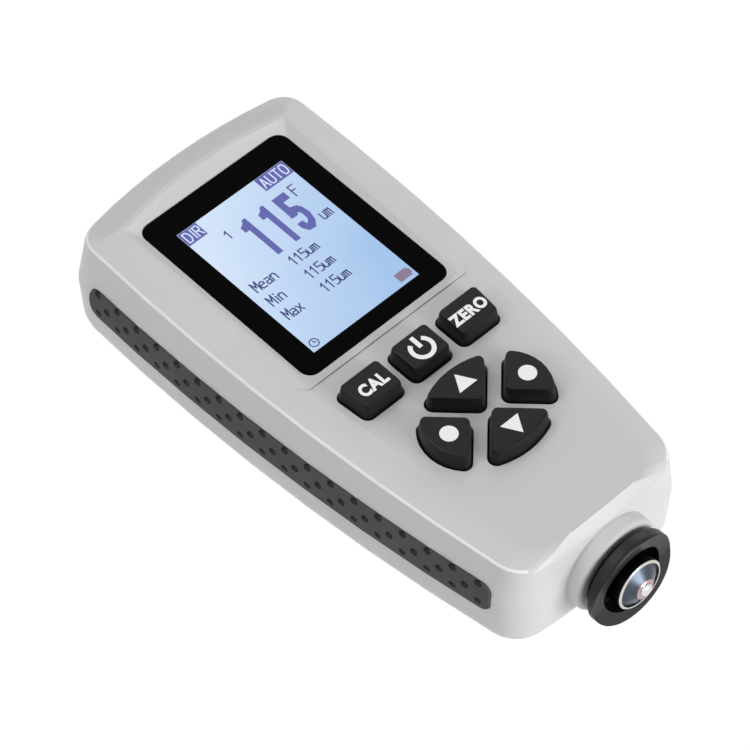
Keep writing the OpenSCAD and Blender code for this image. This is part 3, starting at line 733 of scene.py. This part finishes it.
@dataclass
class Housing:
    """The two shells, the battery cover and the screws.

    Attributes:
        smooth_deg: Edges flatter than this are shaded smooth.
        crease: Radius in mm that breaks the edge between a wall and its slope.
        wall_tilt: Range of the upward share of a normal just under that edge.
        slope_tilt: The same just above it.
        frame_reach: How far the display's sloped frame reaches round the window, in mm.
        frame_deg: Folds of the frame above this angle stay crisp.
        frame_up: Least upward share of a normal on the frame.
        collar_reach: Radius in mm round the probe's axis within which the collar's folds stay crisp.
        collar_deg: Folds of the collar above this angle stay crisp.
    """

    smooth_deg: float = 40.0
    crease: float = 0.28
    wall_tilt: Pair = (0.25, 0.5)
    slope_tilt: Pair = (0.85, 0.97)
    frame_reach: float = 5.0
    frame_deg: float = 6.0
    frame_up: float = 0.5
    collar_reach: float = 11.5
    collar_deg: float = 14.0

    def is_crease(self, edge: Edge) -> bool:
        """Tells whether an edge of a shell lies between a wall and the slope above it."""
        tilts = sorted(face.normal.z for face in edge.link_faces)
        return (len(tilts) == 2 and self.wall_tilt[0] < tilts[0] < self.wall_tilt[1]
                and self.slope_tilt[0] < tilts[1] < self.slope_tilt[1])

    def is_frame_fold(self, edge: Edge) -> bool:
        """Tells whether an edge is a fold of the sloped frame round the window.

        Args:
            edge: Edge of a shell.

        Returns:
            True on the frame's folds.
        """
        low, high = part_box("display_window")
        reach = self.frame_reach * MM
        middle = (edge.verts[0].co + edge.verts[1].co) / 2
        return (len(edge.link_faces) == 2 and low.x - reach < middle.x < high.x + reach
                and low.y - reach / 2 < middle.y < high.y + reach and middle.z > low.z - MM
                and min(face.normal.z for face in edge.link_faces) > self.frame_up
                and edge.calc_face_angle() > math.radians(self.frame_deg))

    def is_collar_fold(self, edge: Edge) -> bool:
        """Tells whether an edge is a fold of the collar at the probe or of its root on the case.

        Args:
            edge: Edge of a shell.

        Returns:
            True on the collar's folds.
        """
        middle = (edge.verts[0].co + edge.verts[1].co) / 2 / MM
        return (len(edge.link_faces) == 2 and middle.y < FRONT_Y + COLLAR_OUT
                and math.hypot(middle.x - HEAD[0], middle.z - HEAD[2]) < self.collar_reach
                and edge.calc_face_angle() > math.radians(self.collar_deg))

    def refine(self, shop: Shop, shell: Piece) -> set[int]:
        """Breaks the crease's edge and keeps the display frame's folds crisp.

        Args:
            shop: Workshop that makes the pieces.
            shell: Skin of a shell.

        Returns:
            Numbers of the faces on the broken edge, which get the lighter plastic of a painted highlight.
        """
        shape = bmesh.new()
        shape.from_mesh(shell.data)
        crease = [edge for edge in shape.edges if self.is_crease(edge)]
        broken = bmesh.ops.bevel(shape, geom=crease, offset=self.crease * MM, offset_type="OFFSET", segments=3,
                                 profile=0.5, affect="EDGES", clamp_overlap=True)["faces"] if crease else []
        shape.faces.index_update()
        painted_highlight_faces = {face.index for face in broken}
        shape.to_mesh(shell.data)
        shop.soften(shell, self.smooth_deg)
        shape.clear()
        shape.from_mesh(shell.data)
        for edge in shape.edges:
            if self.is_frame_fold(edge) or self.is_collar_fold(edge):
                edge.smooth = False
        shape.to_mesh(shell.data)
        shape.free()
        LOG.info("%s: %d crease edges", shell.name, len(crease))
        return painted_highlight_faces

    def build(self, shop: Shop) -> None:
        """Builds and dresses the shells.

        Args:
            shop: Workshop that makes the pieces.
        """
        for node, body in (("front_case", Body.CASE), ("rear_case", Body.CASE), ("battery_cover", Body.COVER)):
            shell = shop.copy_of(node, node + "_skin", self.smooth_deg)
            painted_highlight_faces = self.refine(shop, shell)
            shop.settle(shell)
            shop.hang(shell, body.value, "case", PLASTIC, node)
            # The crease's bevel faces get the lighter plastic: a painted highlight.
            if painted_highlight_faces:
                shop.zone(shell, PAINTED_HIGHLIGHT_PLASTIC, lambda face: face.index in painted_highlight_faces)
        shop.dress_node("case_screws", STEEL)


@dataclass
class Display:
    """The window, the lit panel and what it shows.

    Attributes:
        window: Half width, half length and corner radius of the window in mm.
        window_y: Middle of the window behind the case's front, in mm.
        top: Height of the window's face in mm.
        low: Height of its underside in mm.
        clear: Half width, front edge and back edge of the clear field in mm, behind the case's front.
        film: Thickness of a segment in mm.
        fill: Share of its pitch that a letter fills.
        slim: Share of the pitch that a slim letter takes.
        edge: Radius of the window's upper edge in mm.
        smooth_deg: Edges of the window flatter than this are shaded smooth.
    """

    window: Triple = (16.0, 21.05, 2.1)
    window_y: float = 73.65
    top: float = 23.0
    low: float = 21.5
    clear: Triple = (11.8, 56.0, 89.6)
    film: float = 0.012
    fill: float = 0.78
    slim: float = 0.62
    edge: float = 0.15
    smooth_deg: float = 35.0

    def write(self, shape: Shape, words: str, at: Point, height: float, width: float, pen: float,
              lift: float = 0.0) -> None:
        """Writes a word in plain strokes.

        Args:
            shape: Shape that takes the strokes.
            words: The word.
            at: Lower left corner in mm, behind the case's front.
            height: Height of a capital in mm.
            width: Pitch of the letters in mm.
            pen: Width of a stroke in mm.
            lift: Height above the window's face in mm.
        """
        run = 0.0
        for letter in words:
            for line in GLYPHS[letter].split("|"):
                corners = [map(float, corner.split(",")) for corner in line.split()]
                points = [(at[0] + (run + self.fill * x) * width, at[1] + FRONT_Y + y * height) for x, y in corners]
                stroke(shape, points, pen, self.top + lift, self.top + lift + self.film)
            run += self.slim if letter in "iI" else 1.0

    def build(self, shop: Shop) -> None:
        """Builds the window, the segments and the pieces under them.

        Args:
            shop: Workshop that makes the pieces.
        """
        half_w, half_l, radius = self.window
        shape = bmesh.new()
        outline = [(x, y + self.window_y) for x, y in rounded(half_w, half_l, radius)]
        prism(shape, behind(outline), self.low, self.top)
        upper = [e for e in shape.edges if all(v.co.z > (self.low + self.top) / 2 * MM for v in e.verts)]
        bmesh.ops.bevel(shape, geom=upper, offset=self.edge * MM, segments=2, affect="EDGES")
        window = new_piece("window_pane", shape)
        shop.soften(window, self.smooth_deg)
        finish = WindowFinish("window_black", linear("#050506"), 0.07, lit_near=linear("#d5e5fb"),
                              lit_far=linear("#a6c6ec"), half_w=self.clear[0], low_y=self.clear[1] + FRONT_Y,
                              high_y=self.clear[2] + FRONT_Y)
        shop.hang(window, Body.CASE.value, "window", finish, "display_window")
        self.build_segments(shop)
        for node, coat in (("lcd_gasket", FOAM), ("lcd_panel", PANEL), ("backlight", DIFFUSER),
                           ("lcd_holder", HOLDER)):
            shop.dress_node(node, coat)

    def build_segments(self, shop: Shop) -> None:
        """Builds the figures and words of the reading.

        Args:
            shop: Workshop that makes the pieces.
        """
        low, high = self.top, self.top + self.film
        bold, thin, pale, cell = bmesh.new(), bmesh.new(), bmesh.new(), bmesh.new()
        for right in (-1.06, 2.92):
            one = [(right, 75.0), (right, 84.6), (right - 0.7, 84.6), (right - 1.1, 83.9), (right - 2.0, 83.4),
                   (right - 2.0, 82.1), (right - 1.15, 82.1), (right - 1.15, 75.0)]
            prism(bold, behind(one), low, high)
        five = [(4.7, 84.3), (4.6, 79.0), (5.9, 79.0), (6.25, 79.5), (6.6, 78.9), (6.55, 77.3), (5.8, 76.5),
                (5.6, 77.6), (4.4, 77.6), (4.45, 76.4), (5.1, 75.2), (6.4, 75.05), (7.3, 76.2), (7.8, 78.1),
                (7.6, 79.8), (7.1, 80.7), (5.95, 81.1), (5.9, 82.6), (7.45, 82.6), (7.45, 84.3)]
        prism(bold, behind(five), low, high)
        for x0, x1 in ((-11.75, -7.7), (5.5, 11.75)):
            prism(bold, behind([(x0, 86.35), (x1, 86.35), (x1, 89.55), (x0, 89.55)]), low, high)
        self.write(pale, "DIR", (-11.2, 86.85), 2.2, 1.35, 0.24, self.film)
        self.write(pale, "AUTO", (5.95, 86.85), 2.2, 1.45, 0.24, self.film)
        self.write(thin, "F", (8.55, 82.2), 2.4, 1.5, 0.26)
        self.write(thin, "um", (8.5, 75.2), 2.5, 1.15, 0.24)
        self.write(thin, "1", (-5.9, 82.95), 1.8, 1.2, 0.24)
        for word, y in (("Mean", 71.4), ("Min", 67.5), ("Max", 63.7)):
            self.write(thin, word, (-10.1, y), 2.2, 1.26, 0.26)
            self.write(thin, "115um", (-1.75, y), 2.0, 1.16, 0.25)
        x, y, r = -10.4, 57.5, 0.85
        ring = [(x + r * math.cos(math.radians(a)), y + r * math.sin(math.radians(a))) for a in range(0, 361, 45)]
        stroke(thin, behind(ring), 0.2, low, high)
        stroke(thin, behind([(x, 58.0), (x, y), (-10.0, y)]), 0.18, low, high)
        prism(cell, behind([(8.5, 56.75), (11.15, 56.75), (11.15, 57.2), (11.45, 57.2), (11.45, 58.2), (11.15, 58.2),
                            (11.15, 58.65), (8.5, 58.65)]), low, high)
        for name, shape, finish in (("lcd_figures", bold, SEGMENT), ("lcd_words", thin, THIN_SEGMENT),
                                    ("lcd_reversed_words", pale, PALE_SEGMENT), ("lcd_cell_mark", cell, CELL_MARK)):
            shop.hang(new_piece(name, shape), Body.CASE.value, "lcd", finish)


@dataclass
class KeyMark:
    """One symbol on a key.

    Attributes:
        key: Name of the key.
        kind: Kind of symbol.
        at: Its middle in mm, behind the case's front.
        size: Its size in mm.
        word: The word, where it is one.
    """

    key: str
    kind: Mark
    at: Point
    size: float
    word: str = ""


@dataclass
class Keypad:
    """The seven keys, their symbols and the mat under them.

    Attributes:
        top: Height of the keys' faces in mm.
        ink: Thickness of the print in mm.
        pen: Width of the power sign's line in mm.
        steps: Steps of the dots and of the power sign's ring.
        gap: Where the power sign's ring starts and how far it runs, in degrees.
        bold: Width added round a word's letters in mm.
        narrow: Share of a word's usual width.
        pitch: Share of the usual distance of letters.
        capital: Height of a capital in shares of the font's size.
        smooth_deg: Edges of a key flatter than this are shaded smooth.
        marks: Symbols of the keys.
    """

    top: float = 26.1
    ink: float = 0.025
    pen: float = 0.8
    steps: tuple[int, int] = (48, 40)
    gap: Pair = (128.0, 284.0)
    bold: float = 0.15
    narrow: float = 0.88
    pitch: float = 1.12
    capital: float = 0.7
    smooth_deg: float = 30.0
    marks: tuple[KeyMark, ...] = (
        KeyMark("key_cal", Mark.WORD, (-10.9, 42.95), 2.2, "CAL"),
        KeyMark("key_power", Mark.POWER, (0.0, 43.1), 4.7),
        KeyMark("key_zero", Mark.WORD, (10.7, 43.05), 2.1, "ZERO"),
        KeyMark("key_up", Mark.UP, (0.0, 33.3), 3.9),
        KeyMark("key_down", Mark.DOWN, (0.0, 22.0), 3.9),
        KeyMark("key_left", Mark.DOT, (-8.8, 27.7), 3.1),
        KeyMark("key_right", Mark.DOT, (8.8, 27.7), 3.1),
    )

    def draw(self, mark: KeyMark) -> Shape:
        """Draws a symbol as a thin print on its key.

        Args:
            mark: The symbol.

        Returns:
            Its shape, in metres.
        """
        if mark.kind is Mark.WORD:
            return self.letter(mark)
        shape = bmesh.new()
        x, y, r = mark.at[0], mark.at[1] + FRONT_Y, mark.size / 2
        low, high = self.top, self.top + self.ink
        if mark.kind is Mark.DOT:
            turns = [2 * math.pi * i / self.steps[0] for i in range(self.steps[0])]
            prism(shape, [(x + r * math.cos(a), y + r * math.sin(a)) for a in turns], low, high)
        elif mark.kind is Mark.POWER:
            steps = self.steps[1]
            turns = [math.radians(self.gap[0] + self.gap[1] * i / steps) for i in range(steps + 1)]
            outer, inner = ([(x + reach * math.cos(a), y - 0.1 + reach * math.sin(a)) for a in turns]
                            for reach in (r, r - self.pen))
            for i in range(steps):
                prism(shape, [outer[i], outer[i + 1], inner[i + 1], inner[i]], low, high)
            stroke(shape, [(x, y + 0.45), (x, y + r - 0.1)], self.pen, low, high)
        else:
            s = 1 if mark.kind is Mark.UP else -1
            corners = [(x - r, y - s * r * 0.55), (x + r, y - s * r * 0.55), (x, y + s * r * 1.15)]
            prism(shape, corners if s > 0 else corners[::-1], low, high)
        bmesh.ops.remove_doubles(shape, verts=shape.verts, dist=1e-7)
        return shape

    def letter(self, mark: KeyMark) -> Shape:
        """Sets a function word in a plain bold letter.

        Args:
            mark: The symbol that holds the word.

        Returns:
            Its shape, in metres.
        """
        curve = bpy.data.curves.new("key_word", "FONT")
        curve.body = mark.word
        curve.align_x, curve.align_y = "CENTER", "CENTER"
        curve.size = mark.size * MM / self.capital
        curve.offset = self.bold * MM
        curve.space_character = self.pitch
        curve.extrude = self.ink / 2 * MM
        curve.resolution_u = 4
        holder = placed("key_word", curve)
        bpy.context.view_layer.update()
        graph = bpy.context.evaluated_depsgraph_get()
        mesh = bpy.data.meshes.new_from_object(holder.evaluated_get(graph))
        place = Vector((mark.at[0], mark.at[1] + FRONT_Y, self.top + self.ink / 2)) * MM
        mesh.transform(Matrix.Translation(place) @ Matrix.Diagonal((self.narrow, 1.0, 1.0, 1.0)))
        shape = bmesh.new()
        shape.from_mesh(mesh)
        bpy.data.objects.remove(holder)
        bpy.data.curves.remove(curve)
        bpy.data.meshes.remove(mesh)
        return shape

    def build(self, shop: Shop) -> None:
        """Builds the keys and their symbols.

        Args:
            shop: Workshop that makes the pieces.
        """
        for mark in self.marks:
            cap = shop.copy_of(mark.key, mark.key + "_cap", self.smooth_deg)
            shop.settle(cap)
            shop.hang(cap, mark.key, "key", KEY_RUBBER, mark.key)
            shop.hang(new_piece(mark.key + "_mark", self.draw(mark)), mark.key, "key", WHITE_INK)
        shop.dress_node("keypad_mat", MAT)


@dataclass
class DimpleTree:
    """Geometry Nodes that press rows of dimples into a grip.

    Attributes:
        count: Rows of dimples.
        first_y: Middle of the first row in mm, behind the case's front.
        pitch: Distance between rows in mm.
        step: Offset of the upper and lower dimple along the grip and up, in mm.
        ends: Lowest and highest place of a dimple in mm, behind the case's front.
        mid_z: Height of the rows' middle in mm.
        ball: Radius of the pressing ball in mm.
        lift: Height of the ball's middle above the rubber in mm.
        start: Distance from the middle plane where the search for the rubber starts, in mm.
    """

    count: int = 19
    first_y: float = 6.7
    pitch: float = 5.0
    step: Pair = (-2.35, 2.15)
    ends: Pair = (7.6, 96.0)
    mid_z: float = 12.65
    ball: float = 0.78
    lift: float = 0.24
    start: float = 50.0

    def tree(self, rubber: Material) -> Tree:
        """Builds the tree.

        Args:
            rubber: Material of the grip.

        Returns:
            The tree, with its sizes as named inputs.
        """
        tree = bpy.data.node_groups.new("grip_dimples", "GeometryNodeTree")
        tree.is_modifier = True
        face = tree.interface
        face.new_socket("Geometry", in_out="INPUT", socket_type="NodeSocketGeometry")
        sizes = (("Side", 1.0), ("First", (self.first_y + FRONT_Y) * MM), ("Pitch", self.pitch * MM),
                 ("Step Along", self.step[0] * MM), ("Step Up", self.step[1] * MM),
                 ("Low End", (self.ends[0] + FRONT_Y) * MM), ("High End", (self.ends[1] + FRONT_Y) * MM),
                 ("Middle Height", self.mid_z * MM), ("Ball", self.ball * MM), ("Lift", self.lift * MM))
        for name, value in sizes:
            socket = face.new_socket(name, in_out="INPUT", socket_type="NodeSocketFloat")
            socket.default_value = value
        rows = face.new_socket("Rows", in_out="INPUT", socket_type="NodeSocketInt")
        rows.default_value = self.count
        face.new_socket("Geometry", in_out="OUTPUT", socket_type="NodeSocketGeometry")
        sheet = NodeSheet(tree)
        given = sheet.add("NodeGroupInput").outputs
        first = sheet.vector(sheet.math("MULTIPLY", given["Side"], self.start * MM), given["First"],
                             given["Middle Height"])
        line = sheet.add("GeometryNodeMeshLine", {"Count": given["Rows"], "Start Location": first,
                                                  "Offset": sheet.vector(y=given["Pitch"])})
        triple = sheet.add("GeometryNodeDuplicateElements", {"Geometry": line.outputs["Mesh"], "Amount": 3},
                           domain="POINT")
        rank = sheet.math("SUBTRACT", triple.outputs["Duplicate Index"], 1.0)
        slant = sheet.vector(y=sheet.math("MULTIPLY", rank, given["Step Along"]),
                             z=sheet.math("MULTIPLY", rank, given["Step Up"]))
        spread = sheet.add("GeometryNodeSetPosition", {"Geometry": triple.outputs["Geometry"], "Offset": slant})
        _, along, _ = sheet.split(sheet.add("GeometryNodeInputPosition").outputs[0])
        beyond = sheet.math("MAXIMUM", sheet.math("LESS_THAN", along, given["Low End"]),
                            sheet.math("GREATER_THAN", along, given["High End"]))
        trim = sheet.add("GeometryNodeDeleteGeometry", {"Geometry": spread.outputs["Geometry"], "Selection": beyond},
                         domain="POINT")
        ray = sheet.add("GeometryNodeRaycast", {
            "Target Geometry": given["Geometry"], "Ray Length": 2 * self.start * MM,
            "Ray Direction": sheet.vector(sheet.math("MULTIPLY", given["Side"], -1.0))})
        out = sheet.add("ShaderNodeVectorMath", {0: ray.outputs["Hit Normal"], "Scale": given["Lift"]},
                        operation="SCALE")
        above = sheet.add("ShaderNodeVectorMath", {0: ray.outputs["Hit Position"], 1: out.outputs[0]},
                          operation="ADD")
        seat = sheet.add("GeometryNodeSetPosition", {"Geometry": trim.outputs["Geometry"],
                                                     "Position": above.outputs[0]})
        ball = sheet.add("GeometryNodeMeshUVSphere", {"Segments": 20, "Rings": 12, "Radius": given["Ball"]})
        balls = sheet.add("GeometryNodeInstanceOnPoints", {"Points": seat.outputs["Geometry"],
                                                           "Instance": ball.outputs["Mesh"]})
        solid = sheet.add("GeometryNodeRealizeInstances", {"Geometry": balls.outputs["Instances"]})
        press = sheet.add("GeometryNodeMeshBoolean", {"Mesh 1": given["Geometry"],
                                                      "Mesh 2": solid.outputs["Geometry"]},
                          operation="DIFFERENCE", solver="EXACT")
        real = sheet.add("GeometryNodeRealizeInstances", {"Geometry": press.outputs["Mesh"]})
        coat = sheet.add("GeometryNodeSetMaterial", {"Geometry": real.outputs["Geometry"], "Material": rubber})
        sheet.add("NodeGroupOutput", {"Geometry": coat.outputs["Geometry"]})
        return tree


@dataclass
class Grips:
    """The two rubber grip strips.

    Attributes:
        dimples: Their pressed pattern.
        skin: Depth in mm from which a face counts as part of a dimple.
        smooth_deg: Edges flatter than this are shaded smooth.
    """

    dimples: DimpleTree = field(default_factory=DimpleTree)
    skin: float = 0.015
    smooth_deg: float = 35.0

    def hollows(self, pressed: bpy.types.Mesh, plain: bpy.types.Mesh) -> set[int]:
        """Finds the dimples' faces and shades the rest as smoothly as the plain strip.

        Args:
            pressed: Mesh of the strip with its dimples.
            plain: Mesh of the strip without them.

        Returns:
            Numbers of the faces inside dimples.
        """
        tree = BVHTree.FromPolygons([v.co for v in plain.vertices], [f.vertices for f in plain.polygons])
        inside = {f.index for f in pressed.polygons if tree.find_nearest(f.center)[3] > self.skin * MM}
        normals = [Vector(corner.vector) for corner in pressed.corner_normals]
        for face in pressed.polygons:
            if face.index in inside:
                continue
            flat = plain.polygons[tree.find_nearest(face.center)[2]]
            ring = [plain.vertices[k].co for k in flat.vertices]
            for loop in face.loop_indices:
                shares = poly_3d_calc(ring, pressed.vertices[pressed.loops[loop].vertex_index].co)
                mixed = (plain.corner_normals[k].vector * w for k, w in zip(flat.loop_indices, shares))
                normals[loop] = sum(mixed, Vector()).normalized()
        pressed.normals_split_custom_set(normals)
        return inside

    def build(self, shop: Shop) -> None:
        """Builds the strips with their dimples.

        Args:
            shop: Workshop that makes the pieces.
        """
        tree = self.dimples.tree(shop.material(RUBBER))
        ident = {item.name: item.identifier for item in tree.interface.items_tree if item.in_out == "INPUT"}
        for node, side in (("grip_left", -1.0), ("grip_right", 1.0)):
            strip = shop.copy_of(node, node + "_strip", self.smooth_deg)
            plain = strip.data
            press = strip.modifiers.new("dimples", "NODES")
            press.node_group = tree
            press[ident["Side"]] = side
            shop.flatten(strip)
            shop.soften(strip, self.smooth_deg)
            hollows = self.hollows(strip.data, plain)
            LOG.info("%s has %d faces in dimples", node, len(hollows))
            shop.hang(strip, Body.CASE.value, "grip", RUBBER, node)
            # The dimples' faces get the darker rubber: painted shade in the hollows.
            shop.zone(strip, PAINTED_SHADE_RUBBER, lambda face: face.index in hollows)


@dataclass
class Probe:
    """The sleeve and the sprung sensor in it.

    Attributes:
        smooth_deg: Edges flatter than this are shaded smooth.
        coil_deg: The same on the spring's thin wire.
        rim: Inner radius of the sensor's rim in mm.
        reach: Reach along the axis, in mm, from which faces belong to the rim and to the cone.
    """

    smooth_deg: float = 30.0
    coil_deg: float = 70.0
    rim: float = 4.23
    reach: Pair = (3.25, 3.0)

    def local(self, place: Vector) -> Point:
        """Finds a place in the probe's own round frame.

        Args:
            place: The place in metres.

        Returns:
            Its distance from the axis and its reach along the axis, in mm.
        """
        lean = math.radians(HEAD_LEAN)
        axis = Vector((0.0, -math.cos(lean), math.sin(lean)))
        arm = place / MM - Vector(HEAD)
        reach = arm.dot(axis)
        return (arm - axis * reach).length, reach

    def on_rim(self, face: Face) -> bool:
        """Tells whether a face lies on the sensor's bright rim."""
        radius, reach = self.local(face.center)
        return reach > self.reach[0] and radius > self.rim

    def on_cone(self, face: Face) -> bool:
        """Tells whether a face lies on the cone inside the rim."""
        radius, reach = self.local(face.center)
        return reach > self.reach[1] and radius <= self.rim

    def build(self, shop: Shop) -> None:
        """Builds and dresses the probe.

        Args:
            shop: Workshop that makes the pieces.
        """
        parts = (("probe_sleeve", Body.CASE, "sleeve", SLEEVE_BLACK),
                 ("probe_sensor", Body.PROBE, "sensor", BARREL),
                 ("probe_ring", Body.PROBE, "ring", COPPER), ("probe_tip", Body.PROBE, "tip", POLISHED))
        for node, body, slot, finish in parts:
            turned = body is Body.PROBE
            skin = shop.copy_of(node, node + "_skin", self.smooth_deg, TURNED_DEG if turned else FLAT_DEG)
            if not turned:
                shop.settle(skin)
            shop.hang(skin, body.value, slot, finish, node)
            if node == "probe_sensor":
                shop.zone(skin, NICKEL, self.on_rim)
                shop.zone(skin, CONE, self.on_cone)
        self.spring(shop)
        shop.dress_node("probe_retainer", SLEEVE_BLACK)

    def spring(self, shop: Shop) -> None:
        """Hangs the spring on the case.

        Args:
            shop: Workshop that makes the pieces.
        """
        coil = shop.copy_of("probe_spring", "probe_spring_coil", self.coil_deg, TURNED_DEG)
        shop.hang(coil, Body.CASE.value, "steel", STEEL, "probe_spring")
        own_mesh(coil)


@dataclass
class Inside:
    """The pieces that only show with the battery cover off.

    Attributes:
        finishes: Their nodes and finishes.
    """

    finishes: tuple[tuple[str, Finish], ...] = (
        ("main_board", BOARD), ("controller_chip", CHIP), ("buzzer", CHIP), ("board_screws", STEEL),
        ("battery_1", CELL_SKIN), ("battery_2", CELL_SKIN), ("contact_plates", STEEL), ("contact_springs", STEEL))

    def build(self, shop: Shop) -> None:
        """Dresses the pieces inside."""
        for node, finish in self.finishes:
            shop.dress_node(node, finish)


@dataclass
class Studio:
    """Floor, lamps and camera.

    Attributes:
        azimuth: Direction of the camera in degrees.
        elevation: Its height above the horizon in degrees.
        distance: Its distance from the aim in metres.
        aim: The point in the middle of the picture, in mm.
        lens: Focal length in mm.
        sensor: Width of the sensor in mm.
        lamps: Name, place in metres, side in metres and power in watts of each soft box.
        room: Strength of the even light.
        pale: Tone of the floor under that light.
        glow: Strength of the floor's white to the camera, and its share.
    """

    azimuth: float = -43.43
    elevation: float = 53.19
    distance: float = 0.6143
    aim: Triple = (-7.74, FRONT_Y + 45.9, 23.0)
    lens: float = 182.4
    sensor: float = 36.0
    lamps: tuple[tuple[str, Triple, float, float], ...] = (
        ("front_box", (0.2, -1.0, 0.25), 0.5, 8.8), ("left_box", (-0.9, 0.1, 0.6), 0.4, 1.6),
        ("right_box", (0.8, 0.5, 0.55), 0.6, 1.4), ("top_box", (-0.15, 0.2, 0.6), 0.4, 1.35))
    room: float = 0.33
    pale: float = 0.86
    glow: Pair = (1.05, 0.93)

    def build(self) -> None:
        """Sets up the whole studio."""
        scene = bpy.context.scene
        scene.view_settings.view_transform = "Standard"
        self.floor()
        self.world()
        for lamp in self.lamps:
            self.lamp(*lamp)
        self.camera()

    def seen(self, sheet: NodeSheet) -> Socket:
        """Masks the rays that show the room itself: straight, mirrored or through glass.

        Args:
            sheet: Sheet of the floor or the world.

        Returns:
            The mask's socket.
        """
        rays = sheet.add("ShaderNodeLightPath").outputs
        bent = sheet.math("MAXIMUM", rays["Is Glossy Ray"], rays["Is Transmission Ray"])
        return sheet.math("MAXIMUM", rays["Is Camera Ray"], bent)

    def floor(self) -> None:
        """Lays a plain pale floor that stays white to the camera and keeps a soft shadow."""
        shape = bmesh.new()
        bmesh.ops.create_grid(shape, x_segments=1, y_segments=1, size=3.0)
        bmesh.ops.translate(shape, verts=shape.verts, vec=(0, 0, -0.1 * MM))
        floor = new_piece("floor", shape)
        material = bpy.data.materials.new("floor_white")
        material.use_nodes = True
        sheet, nodes = NodeSheet(material.node_tree), material.node_tree.nodes
        matte = sheet.give(nodes["Principled BSDF"], {"Base Color": (self.pale, self.pale, self.pale, 1),
                                                      "Roughness": 0.9})
        glow = sheet.add("ShaderNodeEmission", {"Color": WHITE, "Strength": self.glow[0]})
        share = sheet.math("MULTIPLY", self.seen(sheet), self.glow[1])
        mix = sheet.add("ShaderNodeMixShader", {0: share, 1: matte.outputs[0], 2: glow.outputs[0]})
        sheet.give(nodes["Material Output"], {"Surface": mix.outputs[0]})
        floor.data.materials.append(material)
        floor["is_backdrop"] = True

    def world(self) -> None:
        """Lights the room evenly and keeps its far side white."""
        world = bpy.data.worlds.new("room")
        bpy.context.scene.world = world
        world.use_nodes = True
        sheet, nodes = NodeSheet(world.node_tree), world.node_tree.nodes
        soft = sheet.give(nodes["Background"], {"Color": WHITE, "Strength": self.room})
        white = sheet.add("ShaderNodeBackground", {"Color": WHITE, "Strength": 1.0})
        mix = sheet.add("ShaderNodeMixShader", {0: self.seen(sheet), 1: soft.outputs[0], 2: white.outputs[0]})
        sheet.give(nodes["World Output"], {"Surface": mix.outputs[0]})

    def lamp(self, name: str, place: Triple, size: float, power: float) -> None:
        """Hangs a square soft box that points at the gauge.

        Args:
            name: Name of the lamp.
            place: Its place in metres.
            size: Side of the box in metres.
            power: Its power in watts.
        """
        light = bpy.data.lights.new(name, "AREA")
        light.shape, light.size, light.energy = "SQUARE", size, power
        lamp = placed(name, light)
        lamp.location = place
        lamp.rotation_euler = (-Vector(place)).to_track_quat("-Z", "Y").to_euler()

    def camera(self) -> None:
        """Sets the camera at the viewing angle of the picture."""
        a, e = math.radians(self.azimuth), math.radians(self.elevation)
        back = Vector((math.sin(a) * math.cos(e), -math.cos(a) * math.cos(e), math.sin(e)))
        data = bpy.data.cameras.new("camera")
        data.lens, data.sensor_width = self.lens, self.sensor
        data.clip_start, data.clip_end = 0.01, 20.0
        camera = placed("camera", data)
        camera.location = Vector(self.aim) * MM + back * self.distance
        camera.rotation_euler = (-back).to_track_quat("-Z", "Y").to_euler()
        bpy.context.scene.camera = camera


def corners() -> list[list[float]]:
    """Returns the box of what shows, as plain lists in metres."""
    return [list(corner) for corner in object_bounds()]


def main() -> None:
    """Builds every sub-assembly, then the studio."""
    logging.basicConfig(level=logging.INFO, format="%(name)s %(message)s")
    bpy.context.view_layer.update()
    shop = Shop()
    for part in (Housing(), Display(), Keypad(), Grips(), Probe(), Inside()):
        part.build(shop)
        LOG.info("built %s", type(part).__name__)
    Studio().build()


if __name__ == "__main__":
    main()
